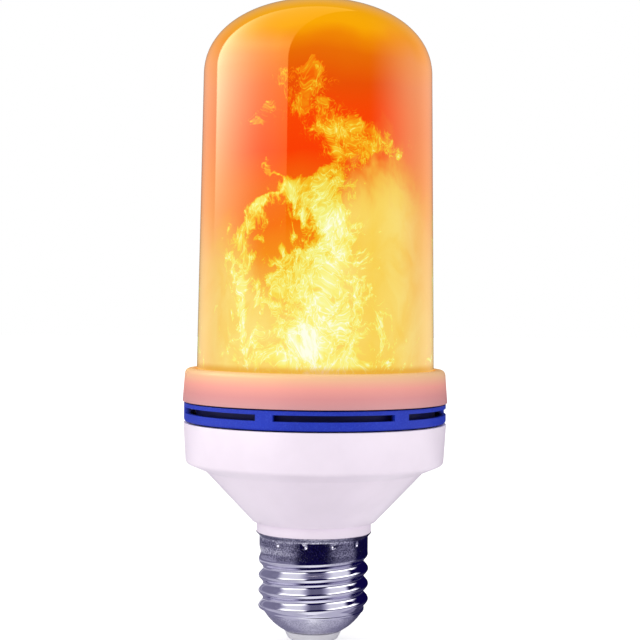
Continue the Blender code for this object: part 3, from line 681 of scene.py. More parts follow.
def flame_heat(bench, spot, curl):
    """0 where there is no flame, 1 where it is almost white."""
    torn_spot = swirled(bench, swirled(bench, spot, 7.0, 7.0), 2.2, 2.4)
    side, height = flame_place(bench, torn_spot)
    share = ((height - FLAME_FOOT) / (FLAME_TIP - FLAME_FOOT)).clipped()
    hook = share.step(*HOOK_START) * share.step(*HOOK_END)
    trunk = within(bench, side, share, FLAME_TRUNK) + hook * HOOK_WIDER
    branch = within(bench, side, share, FLAME_BRANCH)
    inside = trunk.math("MAXIMUM", branch * 0.75 - 0.1).math("MAXIMUM", -4.0)
    torn = bench.noise(curl, 1 / 3.5, 4.0, 0.62) - 0.5
    body = (inside + torn * 1.8).step(-0.12, 0.60)
    near = (inside + torn * 2.2).step(-0.75, 0.30) * (FLAME_TIP - height).step(0.0, TIP_FADE)

    low = share.step(0.64, 0.54)
    lowest = share.step(0.40, 0.12)
    core_side = share.step(0.02, 0.28) * 0.11 - 0.01
    core = (1.0 - abs(side - core_side) / CORE_HALF_WIDTH).clipped() * share.step(0.58, 0.46)
    off_middle = (side - WHITE_SIDE) / WHITE_HALF_WIDTH
    off_height = (share - WHITE_SHARE) / WHITE_HALF_HEIGHT
    white = (off_middle * off_middle + off_height * off_height).step(1.0, 0.0)
    lick = branch.clipped() * share.step(0.40, 0.24)

    steady = low * LOW_HEAT + lowest * LOWEST_HEAT + hook * HOOK_HEAT + BODY_HEAT
    in_body = body * (steady + core * CORE_HEAT + torn * TORN_HEAT)
    veil = veil_of_threads(bench, curl) * near * (VEIL_HEAT - low * LOW_VEIL_LOSS)
    return (in_body + white * WHITE_HEAT + lick * LICK_HEAT + veil).clipped()


print("the flame runs from", FLAME_FOOT, "to", FLAME_TIP, "mm")

# %% [markdown]
# ## The lit diffuser
# The flame is laid over the glow in the Lighten mode, because a flame never darkens what is behind it.
# The finish shines by that colour, and only a share of it is left as base colour, because a lit
# diffuser sends out much more light than it reflects. A clear coat gives it the gloss of the globe.

# %% Diffuser finish
HALVES = 2                      # the glow is as wide as the globe, in front and at the back
GLOW_SHARE = 0.80
BASE_SHARE = 0.25
LIP_SHADE_TOP = 68.2            # the collar's lip shades the globe's foot below this height
LIP_SHADE_FOOT = 66.7
FLAME_COLOURS = [
    (0.00, (200, 50, 0)),
    (0.15, (246, 100, 4)),
    (0.30, (246, 150, 14)),
    (0.45, (246, 190, 34)),
    (0.60, (245, 218, 76)),
    (0.72, (245, 238, 118)),
    (0.84, (248, 248, 156)),
    (1.00, (255, 255, 232)),
]


def diffuser():
    material, bench = new_material("lit_diffuser")
    spot = bench.place()
    side, height = flame_place(bench, spot, HALVES)
    soft = bench.noise(spot, 1 / 14.0, 2.0)
    flow = swirled(bench, swirled(bench, spot, 12.0, 13.0), 4.5, 5.5)
    cloud = bench.noise(flow, 1 / 9.0, 3.0, 0.6)
    heat = flame_heat(bench, spot, swirled(bench, flow, 1.8, 1.8))

    behind = glow_behind(bench, side, height, soft, cloud)
    colour = bench.blend(1.0, behind, glow_ramp(bench, heat, FLAME_COLOURS), "LIGHTEN")
    in_lip = height.step(LIP_SHADE_TOP, LIP_SHADE_FOOT) * 0.75
    colour = bench.blend(in_lip, colour, paint(232, 168, 56))
    dim = bench.vector("MULTIPLY", colour, (BASE_SHARE, BASE_SHARE, BASE_SHARE))
    # brighter towards the sides as the camera sees them: partly glow, partly painted reflection
    power = abs(side).step(0.80, 1.0) * (1.0 - GLOW_SHARE) + GLOW_SHARE
    shining = bench.node("ShaderNodeVectorMath", {"operation": "SCALE"}, {0: colour, "Scale": power})
    shader = bench.node("ShaderNodeBsdfPrincipled", {}, {
        "Base Color": dim, "Roughness": 0.3, "Specular IOR Level": 0.0,
        "Coat Weight": 1.0, "Coat Roughness": 0.02, "Coat IOR": 1.5,
        "Emission Color": shining, "Emission Strength": 1.0})
    bench.finish(shader)
    return material


dress(globe, "globe", diffuser())

# %% [markdown]
# ## The collar
# The collar traps the globe's flange under its lip. It is a plain satin moulding of white plastic, but it
# stands in the flame's light: its pink tone, its peach top edge and its greyer pink foot are painted flame
# light, set by height, and the flame's own light adds to it.

# %% Collar
SEAT = 0.3 * MM                 # play between pieces that fit into each other
COLLAR_STEPS = 160
COLLAR_TAPER = 0.6 * MM
COLLAR_EDGE = 1.3 * MM
LIP_EDGE = 0.4 * MM
SMALL_EDGE = 0.15 * MM

collar_radius, collar_foot, collar_top = reach("collar")
collar_bore = flange_radius + SEAT
lip_bore = globe_radius + SEAT
lip_foot = flange_top + SEAT
collar = turn("collar_shell", rounded([
    (collar_radius - COLLAR_TAPER, collar_top, COLLAR_EDGE),
    (collar_radius, collar_foot, SMALL_EDGE),
    (collar_bore, collar_foot, SMALL_EDGE),
    (collar_bore, lip_foot),
    (lip_bore, lip_foot),
    (lip_bore, collar_top, LIP_EDGE),
]), COLLAR_STEPS)
print("the collar is", round((collar_top - collar_foot) / MM, 2), "mm tall")

# %% Collar finish
def painted_flame_light(bench, base):
    """Painted flame light: peach at the collar's top, pink in the middle, greyer pink at its foot."""
    height = bench.axes(bench.place())[2]
    share = (height - collar_foot / MM) / ((collar_top - collar_foot) / MM)
    painted_flame_glow = bench.ramp(share.clipped(), [
        (0.00, paint(214, 154, 158)),
        (0.30, paint(229, 150, 151)),
        (0.58, paint(252, 165, 153)),
        (0.80, paint(254, 192, 152)),
        (1.00, paint(252, 208, 146)),
    ])
    return bench.blend(0.9, base, painted_flame_glow)


# painted flame light: the white collar takes the pink and peach of the globe's glow as its colour
salmon = plastic("salmon_plastic", paint(250, 160, 148), tint=painted_flame_light)
dress(collar, "collar", salmon)

# %% [markdown]
# ## The vent ring
# Air gets in through six long slots, and a baffle behind them hides the board. The ring could be
# drawn with its holes in one mesh, but cutting keeps it simple: a turned ring, minus a flat washer
# that has gaps where the ring's ribs stay.

# %% Vent ring
RING_STEPS = 192
RING_WALL = 1.4 * MM
RING_EDGE = 1.0 * MM
RING_FLANGE = 0.8 * MM
RING_LIP_HEIGHT = 1.0 * MM
RING_HEIGHT = 4.45 * MM
BAFFLE_WALL = 1.4 * MM

ring_radius, baffle_foot, ring_lip_top = reach("vent_ring")
ring_top = ring_lip_top - RING_LIP_HEIGHT
ring_foot = ring_top - RING_HEIGHT
baffle_radius = reach("driver_board")[0]
wall_bore = ring_radius - RING_WALL
ring = turn("vent_ring_shell", rounded([
    (ring_radius, ring_top, SMALL_EDGE),
    (ring_radius, ring_foot, RING_EDGE),
    (wall_bore, ring_foot, SMALL_EDGE),
    (wall_bore, ring_top - RING_FLANGE),
    (baffle_radius, ring_top - RING_FLANGE),
    (baffle_radius, baffle_foot),
    (baffle_radius - BAFFLE_WALL, baffle_foot),
    (baffle_radius - BAFFLE_WALL, ring_lip_top),
    (collar_bore - SEAT, ring_lip_top),
    (collar_bore - SEAT, ring_top),
]), RING_STEPS)
print("the ring's wall is", round((ring_radius - wall_bore) / MM, 2), "mm thick")

# %% Cutting tools
def freeze(piece):
    """Make what the modifiers show the piece's own mesh."""
    graph = bpy.context.evaluated_depsgraph_get()
    mesh = bpy.data.meshes.new_from_object(piece.evaluated_get(graph))
    piece.modifiers.clear()
    piece.data = mesh
    smooth(mesh)


def hidden_tool(tool):
    """A cutter shapes its piece and is then taken away."""
    tool.hide_render = True
    tool.display_type = "WIRE"
    return tool


def cut(piece, tool):
    boolean = piece.modifiers.new("cut", "BOOLEAN")
    boolean.object = hidden_tool(tool)
    freeze(piece)
    bpy.data.objects.remove(tool)


print("a cutter is hidden, cuts its piece and is removed")

# %% Slots
SLOT_COUNT = 6
SLOT_HEIGHT = 1.45 * MM
SLOT_RISE = 2.05 * MM
SLOT_RIB = 4.2 * MM
RIB_BOX = (8 * RING_WALL, SLOT_RIB, 3 * SLOT_HEIGHT, 1.0)      # reaches well past the washer

slot_foot = ring_foot + SLOT_RISE
slot_top = slot_foot + SLOT_HEIGHT
cutter_bore = (baffle_radius + wall_bore) / 2
washer = turn("slot_washer", [
    Vector((ring_radius + RING_WALL, slot_top)),
    Vector((ring_radius + RING_WALL, slot_foot)),
    Vector((cutter_bore, slot_foot)),
    Vector((cutter_bore, slot_top)),
], RING_STEPS)
ribs = bmesh.new()
for rib in range(SLOT_COUNT):
    rib_angle = math.radians(-90) + math.tau * (rib + 0.5) / SLOT_COUNT
    rib_place = (Matrix.Rotation(rib_angle, 4, "Z")
                 @ Matrix.Translation((ring_radius, 0.0, (slot_foot + slot_top) / 2))
                 @ Matrix.Diagonal(RIB_BOX))
    bmesh.ops.create_cube(ribs, size=1.0, matrix=rib_place)
rib_mesh = bpy.data.meshes.new("ribs")
ribs.to_mesh(rib_mesh)
ribs.free()
cut(washer, in_scene("ribs", rib_mesh))
cut(ring, washer)
print("the ring with its slots:", len(ring.data.polygons), "faces")

# %% Vent ring finish
SPECK_SIZE = 0.35
# painted shade in the recess behind the slots, by radius
PAINTED_SHADE_FROM = wall_bore / MM + 0.9
PAINTED_SHADE_TO = wall_bore / MM + 0.2


def blue_grain(bench, base):
    """The ring's coarser grain, with lighter specks; behind the slots, painted shade makes it nearly dark.
    """
    spot = bench.place()
    specks = bench.noise(spot, 1 / SPECK_SIZE, 3.0, 0.7)
    speckled = bench.blend(specks.step(0.45, 0.75) * 0.5, base, paint(46, 80, 214))
    x, y, _ = bench.axes(spot)
    radius = (x * x + y * y).math("SQRT")
    return bench.blend(radius.step(PAINTED_SHADE_FROM, PAINTED_SHADE_TO), speckled, paint(6, 6, 92))


blue = plastic("blue_plastic", paint(20, 50, 190), rough=0.5, grain=0.3, depth=0.05, shine=0.25,
               tint=blue_grain)
dress(ring, "vent_ring", blue)

# %% [markdown]
# ## The housing
# Cup, shallow underside, cone and neck are one moulding with even walls. Its outline is short, and
# most of its look is in the radii: a soft corner under the cup, a crease where the cone begins and a
# small step down to the neck. The part inside the metal cap isn't seen, but it is there.

# %% Housing
HOUSING_STEPS = 160
HOUSING_WALL = 1.8 * MM
CUP_FLARE = 0.6 * MM
CUP_HEIGHT = 9.5 * MM
CUP_EDGE = 1.1 * MM
UNDERSIDE_WIDTH = 4.65 * MM
UNDERSIDE_RISE = 1.95 * MM
CONE_HEIGHT = 12.05 * MM
CONE_EDGE = 0.5 * MM
NECK_HEIGHT = 2.6 * MM
NECK_STEP = 1.05 * MM
NECK_INSET = 0.1 * MM

cup_radius, _, cup_top = reach("housing")
rim_radius, cap_foot, cap_top = reach("screw_cap")
cup_foot = cup_top - CUP_HEIGHT
cone_top = cup_foot - UNDERSIDE_RISE
cone_foot = cone_top - CONE_HEIGHT
neck_radius = rim_radius - NECK_INSET
neck_foot = cone_foot - NECK_HEIGHT
cup_foot_radius = cup_radius - CUP_FLARE
neck_bore = neck_radius - 2 * HOUSING_WALL
housing = turn("housing_shell", rounded([
    (cup_radius, cup_top, SMALL_EDGE),
    (cup_foot_radius, cup_foot, CUP_EDGE),
    (cup_foot_radius - UNDERSIDE_WIDTH, cone_top, CONE_EDGE),
    (neck_radius + NECK_STEP, cone_foot, 2 * SMALL_EDGE),
    (neck_radius, cone_foot),
    (neck_radius, neck_foot, SMALL_EDGE),
    (neck_bore, neck_foot),
    (neck_bore, cone_foot + HOUSING_WALL),
    (cup_foot_radius - UNDERSIDE_WIDTH - HOUSING_WALL, cone_top + HOUSING_WALL),
    (cup_foot_radius - HOUSING_WALL, cup_foot + 1.1 * HOUSING_WALL),
    (cup_radius - HOUSING_WALL, cup_top, SMALL_EDGE),
]), HOUSING_STEPS)
lavender = plastic("lavender_plastic", paint(253, 240, 255), rough=0.40, grain=0.5, depth=0.01, drift=0.02)
dress(housing, "housing", lavender)

# %% [markdown]
# ## The screw cap
# The cap is thin plated sheet with the thread rolled in, so the inside shows the same wave. A thread
# can be swept as a helix, but then it has to be joined to the shell. Here the plain shell is turned
# with many rows, and each point is moved in by a cosine of its height and its angle: one turn raises
# the wave by one pitch, which makes it right-handed. It fades out at both ends. The rim flares where
# it is pressed over the neck, and twelve punch marks hold it there.

# %% Thread and punch marks
SHEET = 0.4 * MM
THREAD_RADIUS = 13.15 * MM
THREAD_DEPTH = 1.1 * MM
THREAD_PITCH = 25.4 / 7 * MM
THREAD_TURNS = 4.05
THREAD_START = math.radians(48)
RUN_IN = 0.8 * MM
RUN_OUT = 2.0 * MM
SKIRT_INSET = 0.15 * MM
BOWL_HEIGHT = 4.3 * MM
PUNCH_COUNT = 12
PUNCH_START = math.radians(12)
PUNCH_DROP = 1.75 * MM
PUNCH_REACH = 0.75 * MM
PUNCH_DEPTH = 0.30 * MM

root_radius = THREAD_RADIUS - THREAD_DEPTH
skirt_radius = THREAD_RADIUS - SKIRT_INSET
thread_foot = cap_foot + BOWL_HEIGHT
thread_top = thread_foot + THREAD_TURNS * THREAD_PITCH


def eased(share):
    """0 to 1 with a soft start and end."""
    share = max(0.0, min(1.0, share))
    return share * share * (3 - 2 * share)


def rolled(angle, radius, height):
    """Move a point of the shell by the thread and by the punch marks."""
    turns = (height - thread_foot) / THREAD_PITCH - (angle - THREAD_START) / math.tau
    past_groove = (turns - 0.5) - round(turns - 0.5)
    groove_height = height - past_groove * THREAD_PITCH
    wave = (1 + math.cos(math.tau * turns)) / 2
    run_in = eased((height - thread_foot) / RUN_IN)
    radius += THREAD_DEPTH * (wave - 1) * run_in * eased((thread_top - groove_height) / RUN_OUT)
    radius += SKIRT_INSET * run_in * eased((thread_top - height) / RUN_OUT)
    spacing = math.tau / PUNCH_COUNT
    sideways = ((angle - PUNCH_START + spacing / 2) % spacing - spacing / 2) * skirt_radius
    away = math.hypot(sideways, height - (cap_top - PUNCH_DROP)) / PUNCH_REACH
    if away < 1.0:
        radius -= PUNCH_DEPTH * (1 - away * away) ** 2
    return radius, height


print("the thread is", round((thread_top - thread_foot) / MM, 2), "mm tall")

# %% Outline of the cap
CAP_STEPS = 288
CAP_SHARP_ANGLE = 50
ROW_HEIGHT = 0.17 * MM
RIM_HEIGHT = 0.9 * MM
RIM_TUCK = 0.15 * RIM_HEIGHT
RIM_EDGE = 0.25 * RIM_HEIGHT
BOWL_BULGE = 0.4 * MM
BOWL_INSET = 0.3 * MM
BOWL_ROWS = 12
LIP_WIDTH = 0.8 * MM

insulator_radius, insulator_foot, plug_top = reach("insulator")
bowl_foot_radius = insulator_radius + SEAT


def stretch(points, start, end):
    """Add rows from the last point to the end of a straight stretch."""
    rows = round((Vector(end) - Vector(start)).length / ROW_HEIGHT)
    points.extend(Vector(start).lerp(Vector(end), row / rows) for row in range(1, rows + 1))


def shell_line():
    """The cap's outer line, from the rim down to its turned-in lip."""
    rim_foot = cap_top - RIM_HEIGHT
    points = rounded([
        (rim_radius, cap_top),
        (rim_radius - RIM_TUCK, cap_top - RIM_EDGE, SHEET),
        (skirt_radius, rim_foot, 2 * SHEET),
        (skirt_radius, rim_foot - 2 * SHEET),
    ], closed=False)
    run_in_top = (skirt_radius, thread_foot + RUN_IN)
    stretch(points, (skirt_radius, rim_foot - 2 * SHEET), run_in_top)
    stretch(points, run_in_top, (root_radius - BOWL_INSET, thread_foot))
    start = points[-1]
    along = Vector((bowl_foot_radius, cap_foot)) - start
    outward = Vector((-along.y, along.x)).normalized()
    for row in range(1, BOWL_ROWS + 1):
        share = row / BOWL_ROWS
        points.append(start + along * share + outward * BOWL_BULGE * 4 * share * (1 - share))
    points.append(Vector((bowl_foot_radius - LIP_WIDTH, cap_foot)))
    return points


def inner_line(points):
    """The sheet's other face, one thickness in."""
    inner = []
    for index, point in enumerate(points):
        before = points[max(index - 1, 0)]
        after = points[min(index + 1, len(points) - 1)]
        along = (after - before).normalized()
        inner.append(point + Vector((along.y, -along.x)) * SHEET)
    return inner


cap_line = shell_line()
cap = turn("screw_cap_shell", cap_line + inner_line(cap_line)[::-1], CAP_STEPS, rolled, CAP_SHARP_ANGLE)
print("rows from the cap's rim to its lip:", len(cap_line))

# %% [markdown]
# ## Nickel plate
# Plate over rolled sheet is bright on the thread, where the rolls have pressed it smooth. The plain
# skirt keeps the orange peel of thin sheet, and the bowl is satin. Three materials would show a line
# between them, so one finish fades from zone to zone by height.

# %% Plated finish
BOWL_SATIN = (8.6, 7.6)         # millimetres above the contact, from bright to satin
SKIRT_PEEL = (20.6, 23.0)
PEEL_DEPTH = 0.12
PLATE_ROUGHNESS = 0.045


def plated(name, colour, rim_foot=None):
    """Plated sheet; above rim_foot, in millimetres, it is darker, as in the housing's shade."""
    material, bench = new_material(name)
    spot = bench.place()
    peel = bench.noise(spot, 1 / 0.30, 3.0, 0.7)
    fine = bench.noise(spot, 1 / 0.15, 2.0, 0.6)
    smear = bench.noise(spot, 0.3, 3.0)
    height = bench.axes(spot)[2]
    satin = height.step(*BOWL_SATIN)
    skirt = height.step(*SKIRT_PEEL)
    relief = peel * skirt * 0.12 + fine * 0.12 * (satin + skirt * 0.2)
    base = bench.blend(smear.step(0.3, 0.7), colour, tuple(0.93 * c for c in colour))
    base = bench.blend(peel.step(0.60, 0.40) * (skirt * 0.85 + satin * 0.45), base, paint(80, 76, 116))
    if rim_foot:
        base = bench.blend(height.step(rim_foot - 0.1, rim_foot + 0.2) * 0.4, base, paint(20, 16, 70))
    shader = bench.node("ShaderNodeBsdfPrincipled", {}, {
        "Base Color": base, "Metallic": 1.0,
        "Roughness": satin * 0.24 + skirt * 0.08 + smear * 0.05 + PLATE_ROUGHNESS,
        "Normal": bench.bump(0.7, PEEL_DEPTH, relief)})
    bench.finish(shader)
    return material


nickel = plated("nickel_plate", paint(238, 235, 250), (cap_top - RIM_HEIGHT) / MM)
dress(cap, "screw_cap", nickel)

# %% [markdown]
# ## Insulator and centre contact
# A white ring keeps the contact off the shell. The contact is a small button of tinned brass, riveted
# through the ring. The photograph cuts it off, so it gets the usual form.

# %% Insulator
SMALL_STEPS = 96
CONE_RISE = 1.9 * MM
TIP_RIM = 0.9 * MM
RIVET_RADIUS = 2.0 * MM

contact_radius, _, rivet_top = reach("centre_contact")
shoulder_height = insulator_foot + CONE_RISE
plug_foot = cap_foot + SHEET + SEAT
shank = bowl_foot_radius - LIP_WIDTH - SEAT
bore = RIVET_RADIUS + SEAT
insulator = turn("insulator_ring", rounded([
    (bowl_foot_radius - SEAT, plug_top, SMALL_EDGE),
    (bowl_foot_radius - SEAT, plug_foot),
    (shank, plug_foot),
    (shank, shoulder_height),
    (insulator_radius, shoulder_height, SMALL_EDGE),
    (contact_radius + TIP_RIM, insulator_foot, 2 * SMALL_EDGE),
    (bore, insulator_foot),
    (bore, plug_top),
]), SMALL_STEPS)
ceramic = plastic("white_ceramic", paint(238, 237, 243), rough=0.35, grain=0.25, depth=0.015)
dress(insulator, "insulator", ceramic)

# %% Contact
CONTACT_THICKNESS = 1.5 * MM
CONTACT_EDGE = 0.4 * CONTACT_THICKNESS
RIVET_HEAD_RADIUS = 3.2 * MM
RIVET_HEAD_HEIGHT = 0.8 * MM
HAIR = 0.02 * MM                # a pinhole on the axis keeps the faces there from folding up

head_foot = rivet_top - RIVET_HEAD_HEIGHT
contact = turn("contact_button", rounded([
    (RIVET_HEAD_RADIUS, rivet_top, SMALL_EDGE),
    (RIVET_HEAD_RADIUS, head_foot),
    (RIVET_RADIUS, head_foot),
    (RIVET_RADIUS, CONTACT_THICKNESS),
    (contact_radius, CONTACT_THICKNESS, SMALL_EDGE),
    (contact_radius, 0.0, CONTACT_EDGE),
    (HAIR, 0.0),
    (HAIR, rivet_top),
]), SMALL_STEPS)
dress(contact, "centre_contact", plated("tinned_brass", paint(214, 208, 196)))

# %% [markdown]
# ## What is inside
# Nobody sees the driver and the light tube while the bulb is whole, but the part comes apart, so its
# pieces have finishes too. Their CAD solids already have the right shape and stay. A board is glossy
# green, sleeves are black film, the wound coil shows its turns as fine ridges.

# %% Finishes of the inner pieces
def wound(name, colour, pitch):
    """Enamelled wire on a bobbin: ridges by height, with painted shade in the grooves between turns."""
    material, bench = new_material(name)
    height = bench.axes(bench.place())[2]
    ridge = (height * (math.tau / pitch)).math("SINE")
    base = bench.blend(ridge.step(-1.0, 0.6), tuple(0.35 * c for c in colour), colour)
    shader = bench.node("ShaderNodeBsdfPrincipled", {}, {
        "Base Color": base, "Metallic": 0.4, "Roughness": 0.35, "Normal": bench.bump(0.8, 0.1, ridge)})
    bench.finish(shader)
    return material


white_plastic = plastic("white_plastic", paint(232, 231, 226), rough=0.5)
black_epoxy = plastic("black_epoxy", paint(34, 34, 36), rough=0.55, grain=0.2)
dark_sleeve = plastic("dark_sleeve", paint(24, 30, 44), rough=0.25)
red_insulation = plastic("red_insulation", paint(196, 30, 28), rough=0.4)
inner_finishes = {
    "led_core": white_plastic,
    "core_cap": white_plastic,
    "carrier_plate": white_plastic,
    "led_sheet": plastic("flex_circuit", paint(236, 226, 190), rough=0.35),
    "driver_board": plastic("circuit_board", paint(30, 110, 52), rough=0.25),
    "bridge_rectifier": black_epoxy,
    "control_chip": black_epoxy,
    "bulk_capacitor": dark_sleeve,
    "output_capacitor": dark_sleeve,
    "inductor": wound("copper_winding", paint(190, 112, 60), 0.5),
    "tilt_switch": plated("steel_can", paint(204, 204, 208)),
    "fuse_resistor": plastic("fuse_coating", paint(60, 120, 70), rough=0.45),
    "live_wire": red_insulation,
    "led_wire_positive": red_insulation,
    "neutral_wire": plastic("black_insulation", paint(30, 30, 32), rough=0.4),
    "led_wire_negative": plastic("blue_insulation", paint(40, 80, 190), rough=0.4),
}
for node_name, material in inner_finishes.items():
    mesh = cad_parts[node_name].data
    mesh.materials.clear()
    mesh.materials.append(material)
print("inner pieces finished:", len(inner_finishes))

# %% [markdown]
# ## The studio
# The picture has no visible room, only white. The floor and the world are white to the camera and a
# little dimmer as light, which one white background could not be, so both ask what kind of ray meets
# them. One big soft light from the upper left gives the housing its form.

# %% World
WORLD_LIGHT = 0.94
WHITE = (1.0, 1.0, 1.0)


def in_sight(bench):
    """1 for rays from the camera, off a gloss or through a clear piece, 0 for those that light."""
    outputs = bench.node("ShaderNodeLightPath").socket.node.outputs
    kinds = ("Camera", "Glossy", "Transmission")
    seen, mirrored, through = (Wire(bench, outputs["Is " + kind + " Ray"]) for kind in kinds)
    return (seen + mirrored + through).clipped()


world = bpy.data.worlds.new("studio")
bpy.context.scene.world = world
bench = Bench(world)
background = bench.node("ShaderNodeBackground", {}, {
    "Color": WHITE, "Strength": in_sight(bench) * (1.0 - WORLD_LIGHT) + WORLD_LIGHT})
bench.finish(background, "ShaderNodeOutputWorld")
print("the world lights with", WORLD_LIGHT)

# %% Floor
FLOOR_SIZE = 3.0                # metres from its middle to an edge
FLOOR_LIFT = 0.45

corners = [(x * FLOOR_SIZE, y * FLOOR_SIZE, 0.0) for x, y in ((-1, -1), (1, -1), (1, 1), (-1, 1))]
floor = new_piece("floor", corners, [(0, 1, 2, 3)])
floor_material, bench = new_material("pale_floor")
paper = bench.node("ShaderNodeBsdfDiffuse", {}, {"Color": paint(236, 236, 236)})
lift = bench.node("ShaderNodeEmission", {}, {"Color": WHITE, "Strength": in_sight(bench) * FLOOR_LIFT})
bench.finish(bench.node("ShaderNodeAddShader", {}, {0: paper, 1: lift}))
floor.data.materials.append(floor_material)
floor.visible_glossy = False
print("the floor is", 2 * FLOOR_SIZE, "m across")

# %% Key light
KEY_SIZE = 0.8                  # metres
KEY_POWER = 2.4                 # watts
KEY_AIM = Vector((0.0, 0.0, 0.07))

key_data = bpy.data.lights.new("key", "AREA")
key_data.shape = "DISK"
key_data.size = KEY_SIZE
key_data.energy = KEY_POWER
key = in_scene("key", key_data)
key_place = towards_eye * 0.6 - to_the_right * 0.7 + Vector((0.0, 0.0, 0.9))
key.location = key_place
key.rotation_euler = (KEY_AIM - key_place).to_track_quat("-Z", "Y").to_euler()
key.visible_glossy = False
print("the key light stands", round((KEY_AIM - key_place).length, 2), "m away")

# %% [markdown]
# ## What the globe mirrors
# A shiny globe needs something to mirror: a big soft panel at the left, a dark gap in front, pale
# walls low down and a dim one at the back. Real panels would light the bulb as well and wash it out.
# So they are painted on a tent round the bulb that only glossy rays meet.

# %% Tent that the gloss mirrors
TENT_RADIUS = 330 * MM
TENT_STEPS = 64
PANEL_EDGE = math.radians(28)   # the panel's near edge, left of the camera
PANEL_BACK = math.cos(math.radians(114.7))      # its far edge, behind the bulb
PANEL_NEAR = (4.2, 3.4, 0.9)
PANEL_FAR = (5.8, 5.7, 3.9)
BACK_WALL = (0.30, 0.26, 0.24)

tent_mesh = bpy.data.meshes.new("tent")
shape = bmesh.new()
bmesh.ops.create_uvsphere(shape, u_segments=TENT_STEPS, v_segments=TENT_STEPS // 2, radius=TENT_RADIUS)
shape.to_mesh(tent_mesh)
shape.free()
tent = in_scene("tent", tent_mesh)
tent.location.z = EYE_HEIGHT


def tent_cloth():
    material, bench = new_material("tent_cloth")
    spot = bench.vector("NORMALIZE", bench.place(), (0.0, 0.0, 0.0))
    x, y, z = bench.axes(spot)
    ahead, right = from_camera(x, y)

    into_panel = (right * math.cos(PANEL_EDGE) + ahead * math.sin(PANEL_EDGE)) * -1.0
    panel = (into_panel.step(0.0, 0.012) * ahead.step(PANEL_BACK - 0.02, PANEL_BACK + 0.02)
             * z.step(0.05, 0.37) * (1.0 - z.step(0.60, 0.95) * 0.85))
    panel_colour = bench.blend(into_panel.clipped(), PANEL_NEAR, PANEL_FAR)
    back_wall = ahead.step(-0.35, -0.75) * (1.0 - ahead.step(-0.82, -0.98) * 0.7)
    upper_colour = bench.blend(panel, bench.blend(back_wall, (0.02, 0.02, 0.03), BACK_WALL), panel_colour)

    colour = bench.blend(z.step(-0.22, -0.14), (0.55, 0.54, 0.60), upper_colour)
    glow = bench.node("ShaderNodeEmission", {}, {"Color": colour, "Strength": 1.0})
    bench.finish(glow)
    return material


def only_mirrored(piece):
    """Let glossy rays meet this piece and no others."""
    for ray in ("camera", "diffuse", "transmission", "volume_scatter", "shadow"):
        setattr(piece, "visible_" + ray, False)


tent_mesh.materials.append(tent_cloth())
only_mirrored(tent)
print("the tent is", round(2 * TENT_RADIUS / MM), "mm across")

# %% [markdown]
# ## What the cap mirrors
# Plated metal is nearly all mirror, so a photographer stands white and black cards round it. These
# are painted on one turned wall with a ceiling and a floor: a tall card at each side, softer ones in
# the ceiling, and low light for the bowl. Separate cards could not fade into each other. The wall
# keeps clear of the cup and the neck, and again only glossy rays meet it.

# %% Ring of cards round the cap
CARD_RADIUS = 62 * MM
CARD_TOP = 57 * MM
CARD_FOOT = -50 * MM
CARD_HOLE = 0.5 * MM
CARD_THICKNESS = Vector((0.0, 0.6 * MM))
NECK_OPENING = Vector((neck_radius + NECK_STEP + 0.6 * MM, neck_foot + 1.5 * MM))
CUP_OPENING = Vector((cup_radius + 2 * MM, cup_foot - MM))

cards = turn("cap_cards", [
    NECK_OPENING,
    CUP_OPENING,
    Vector((CARD_RADIUS, CARD_TOP)),
    Vector((CARD_RADIUS, CARD_FOOT)),
    Vector((CARD_HOLE, CARD_FOOT)),
    Vector((CARD_HOLE, CARD_FOOT - MM)),
    Vector((CARD_RADIUS + MM, CARD_FOOT - MM)),
    Vector((CARD_RADIUS + MM, CARD_TOP + MM)),
    CUP_OPENING + CARD_THICKNESS,
    NECK_OPENING + CARD_THICKNESS,
], TENT_STEPS)
print("ring of cards:", len(cards.data.polygons), "faces")

# %% Places of the cards
CARD_STRENGTH = 2.0
WALL_INSIDE = CARD_RADIUS / MM - 0.4

# two soft edges each, as degrees to the right of the camera from where it is dark to where it is bright
LEFT_CARD = (-12.0, -22.0), (-84.0, -66.0)
RIGHT_CARD = (22.0, 34.0), (110.0, 88.0)
LEFT_SOFT_CARD = (-6.0, -34.0), (-94.0, -66.0)
RIGHT_SOFT_CARD = (12.0, 40.0), (88.0, 70.0)
RIGHT_SKIRT_CARD = (24.0, 50.0), (96.0, 80.0)
MIDDLE_GAP = (-34.0, -10.0), (40.0, 14.0)
FRONT_CARD = (-46.0, -12.0), (60.0, 20.0)
SKIRT_WALL = (3.0, 5.0), (26.0, 24.0)       # heights in millimetres
print("the tall card at the left ends", -LEFT_CARD[1][0], "degrees from the camera")

# %% Light on the cards
def between(value, first, last):
    """1 between two soft edges, 0 beyond them."""
    return value.step(*first) * value.step(*last)


def ceiling_light(angle, radius):
    """Soft cards that are brighter outside, and a dim wash that spares the middle."""
    outer = radius.step(32.0, 52.0)
    soft_cards = between(angle, *LEFT_SOFT_CARD) + between(angle, *RIGHT_SOFT_CARD)
    wash = angle.step(88.0, 70.0) * (1.0 - between(angle, *MIDDLE_GAP) * (0.4 + outer * 0.6))
    return soft_cards * (outer * 0.48 + 0.29) + wash * 0.11


def skirt_light(angle, z):
    """What the plain skirt mirrors: the wall at its own height, brighter low down."""
    sides = (angle.step(-22.0, -48.0) * 0.22 - angle.step(-74.0, -94.0) * 0.05
             + between(angle, *RIGHT_SKIRT_CARD) * 0.14)
    return between(z, *SKIRT_WALL) * (0.5 + z.step(16.5, 11.5) * 1.2) * sides


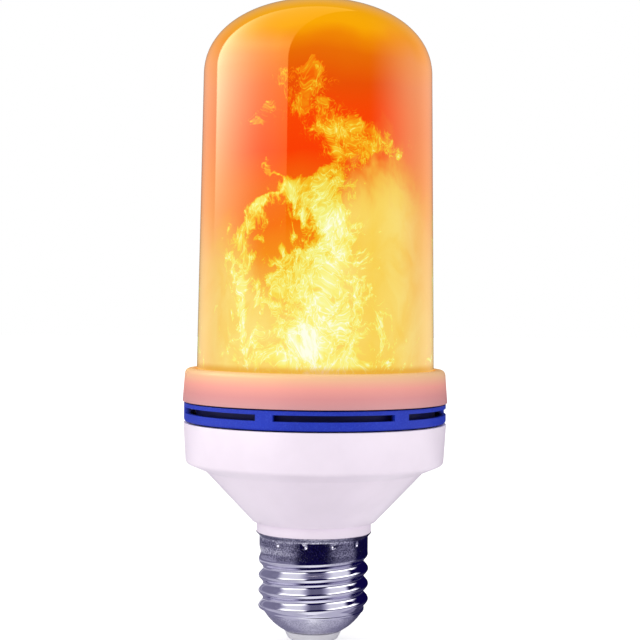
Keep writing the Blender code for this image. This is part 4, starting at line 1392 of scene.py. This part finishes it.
def low_light(angle, radius, ahead, right, z):
    """What the bowl mirrors: the low wall and the floor, with a streak on the floor."""
    dark_end = angle.step(82.0, 98.0) * z.step(-40.0, -30.0)
    behind = ahead.step(-14.0, -26.0)
    low = z.step(3.5, 0.0) * (1.0 - dark_end * 0.85) * (1.0 - behind * 0.55)
    streak = z.step(-46.0, -49.0) * abs(ahead + 14.0).step(18.0, 6.0) * abs(right).step(18.0, 6.0)
    spread = radius.step(4.5, 8.0) * 0.22 + 0.05
    return low * spread * (1.0 + between(angle, *FRONT_CARD) * 0.75) + streak * 0.08


def card_light():
    material, bench = new_material("card_light")
    x, y, z = bench.axes(bench.place())
    ahead, right = from_camera(x, y)
    angle = right.math("ARCTAN2", ahead) * (180 / math.pi)
    radius = (x * x + y * y).math("SQRT")
    ceiling = radius.step(WALL_INSIDE, WALL_INSIDE - 1.0) * z.step(20.0, 22.0)
    wall = 1.0 - ceiling
    tall_cards = between(angle, *LEFT_CARD) + between(angle, *RIGHT_CARD)
    left_end = angle.step(-74.0, -82.0) * 0.10
    light = (z.step(29.0, 33.0) * wall * tall_cards + wall * z.step(18.0, 22.0) * left_end
             + ceiling * ceiling_light(angle, radius) + skirt_light(angle, z)
             + low_light(angle, radius, ahead, right, z))
    colour = bench.ramp(light.clipped(), [
        (0.00, (0.002, 0.001, 0.024)),
        (0.12, (0.120, 0.116, 0.166)),
        (0.23, (0.225, 0.220, 0.276)),
        (0.39, (0.380, 0.384, 0.404)),
        (1.00, (1.000, 1.000, 0.980)),
    ])
    bench.finish(bench.node("ShaderNodeEmission", {}, {"Color": colour, "Strength": CARD_STRENGTH}))
    return material


cards.data.materials.append(card_light())
only_mirrored(cards)
print("the brightest card shines with", CARD_STRENGTH)

# %% [markdown]
# ## Colours as they are
# The Standard view shows a colour as it was written.

# %% View
bpy.context.scene.view_settings.view_transform = "Standard"
print("view transform:", bpy.context.scene.view_settings.view_transform)
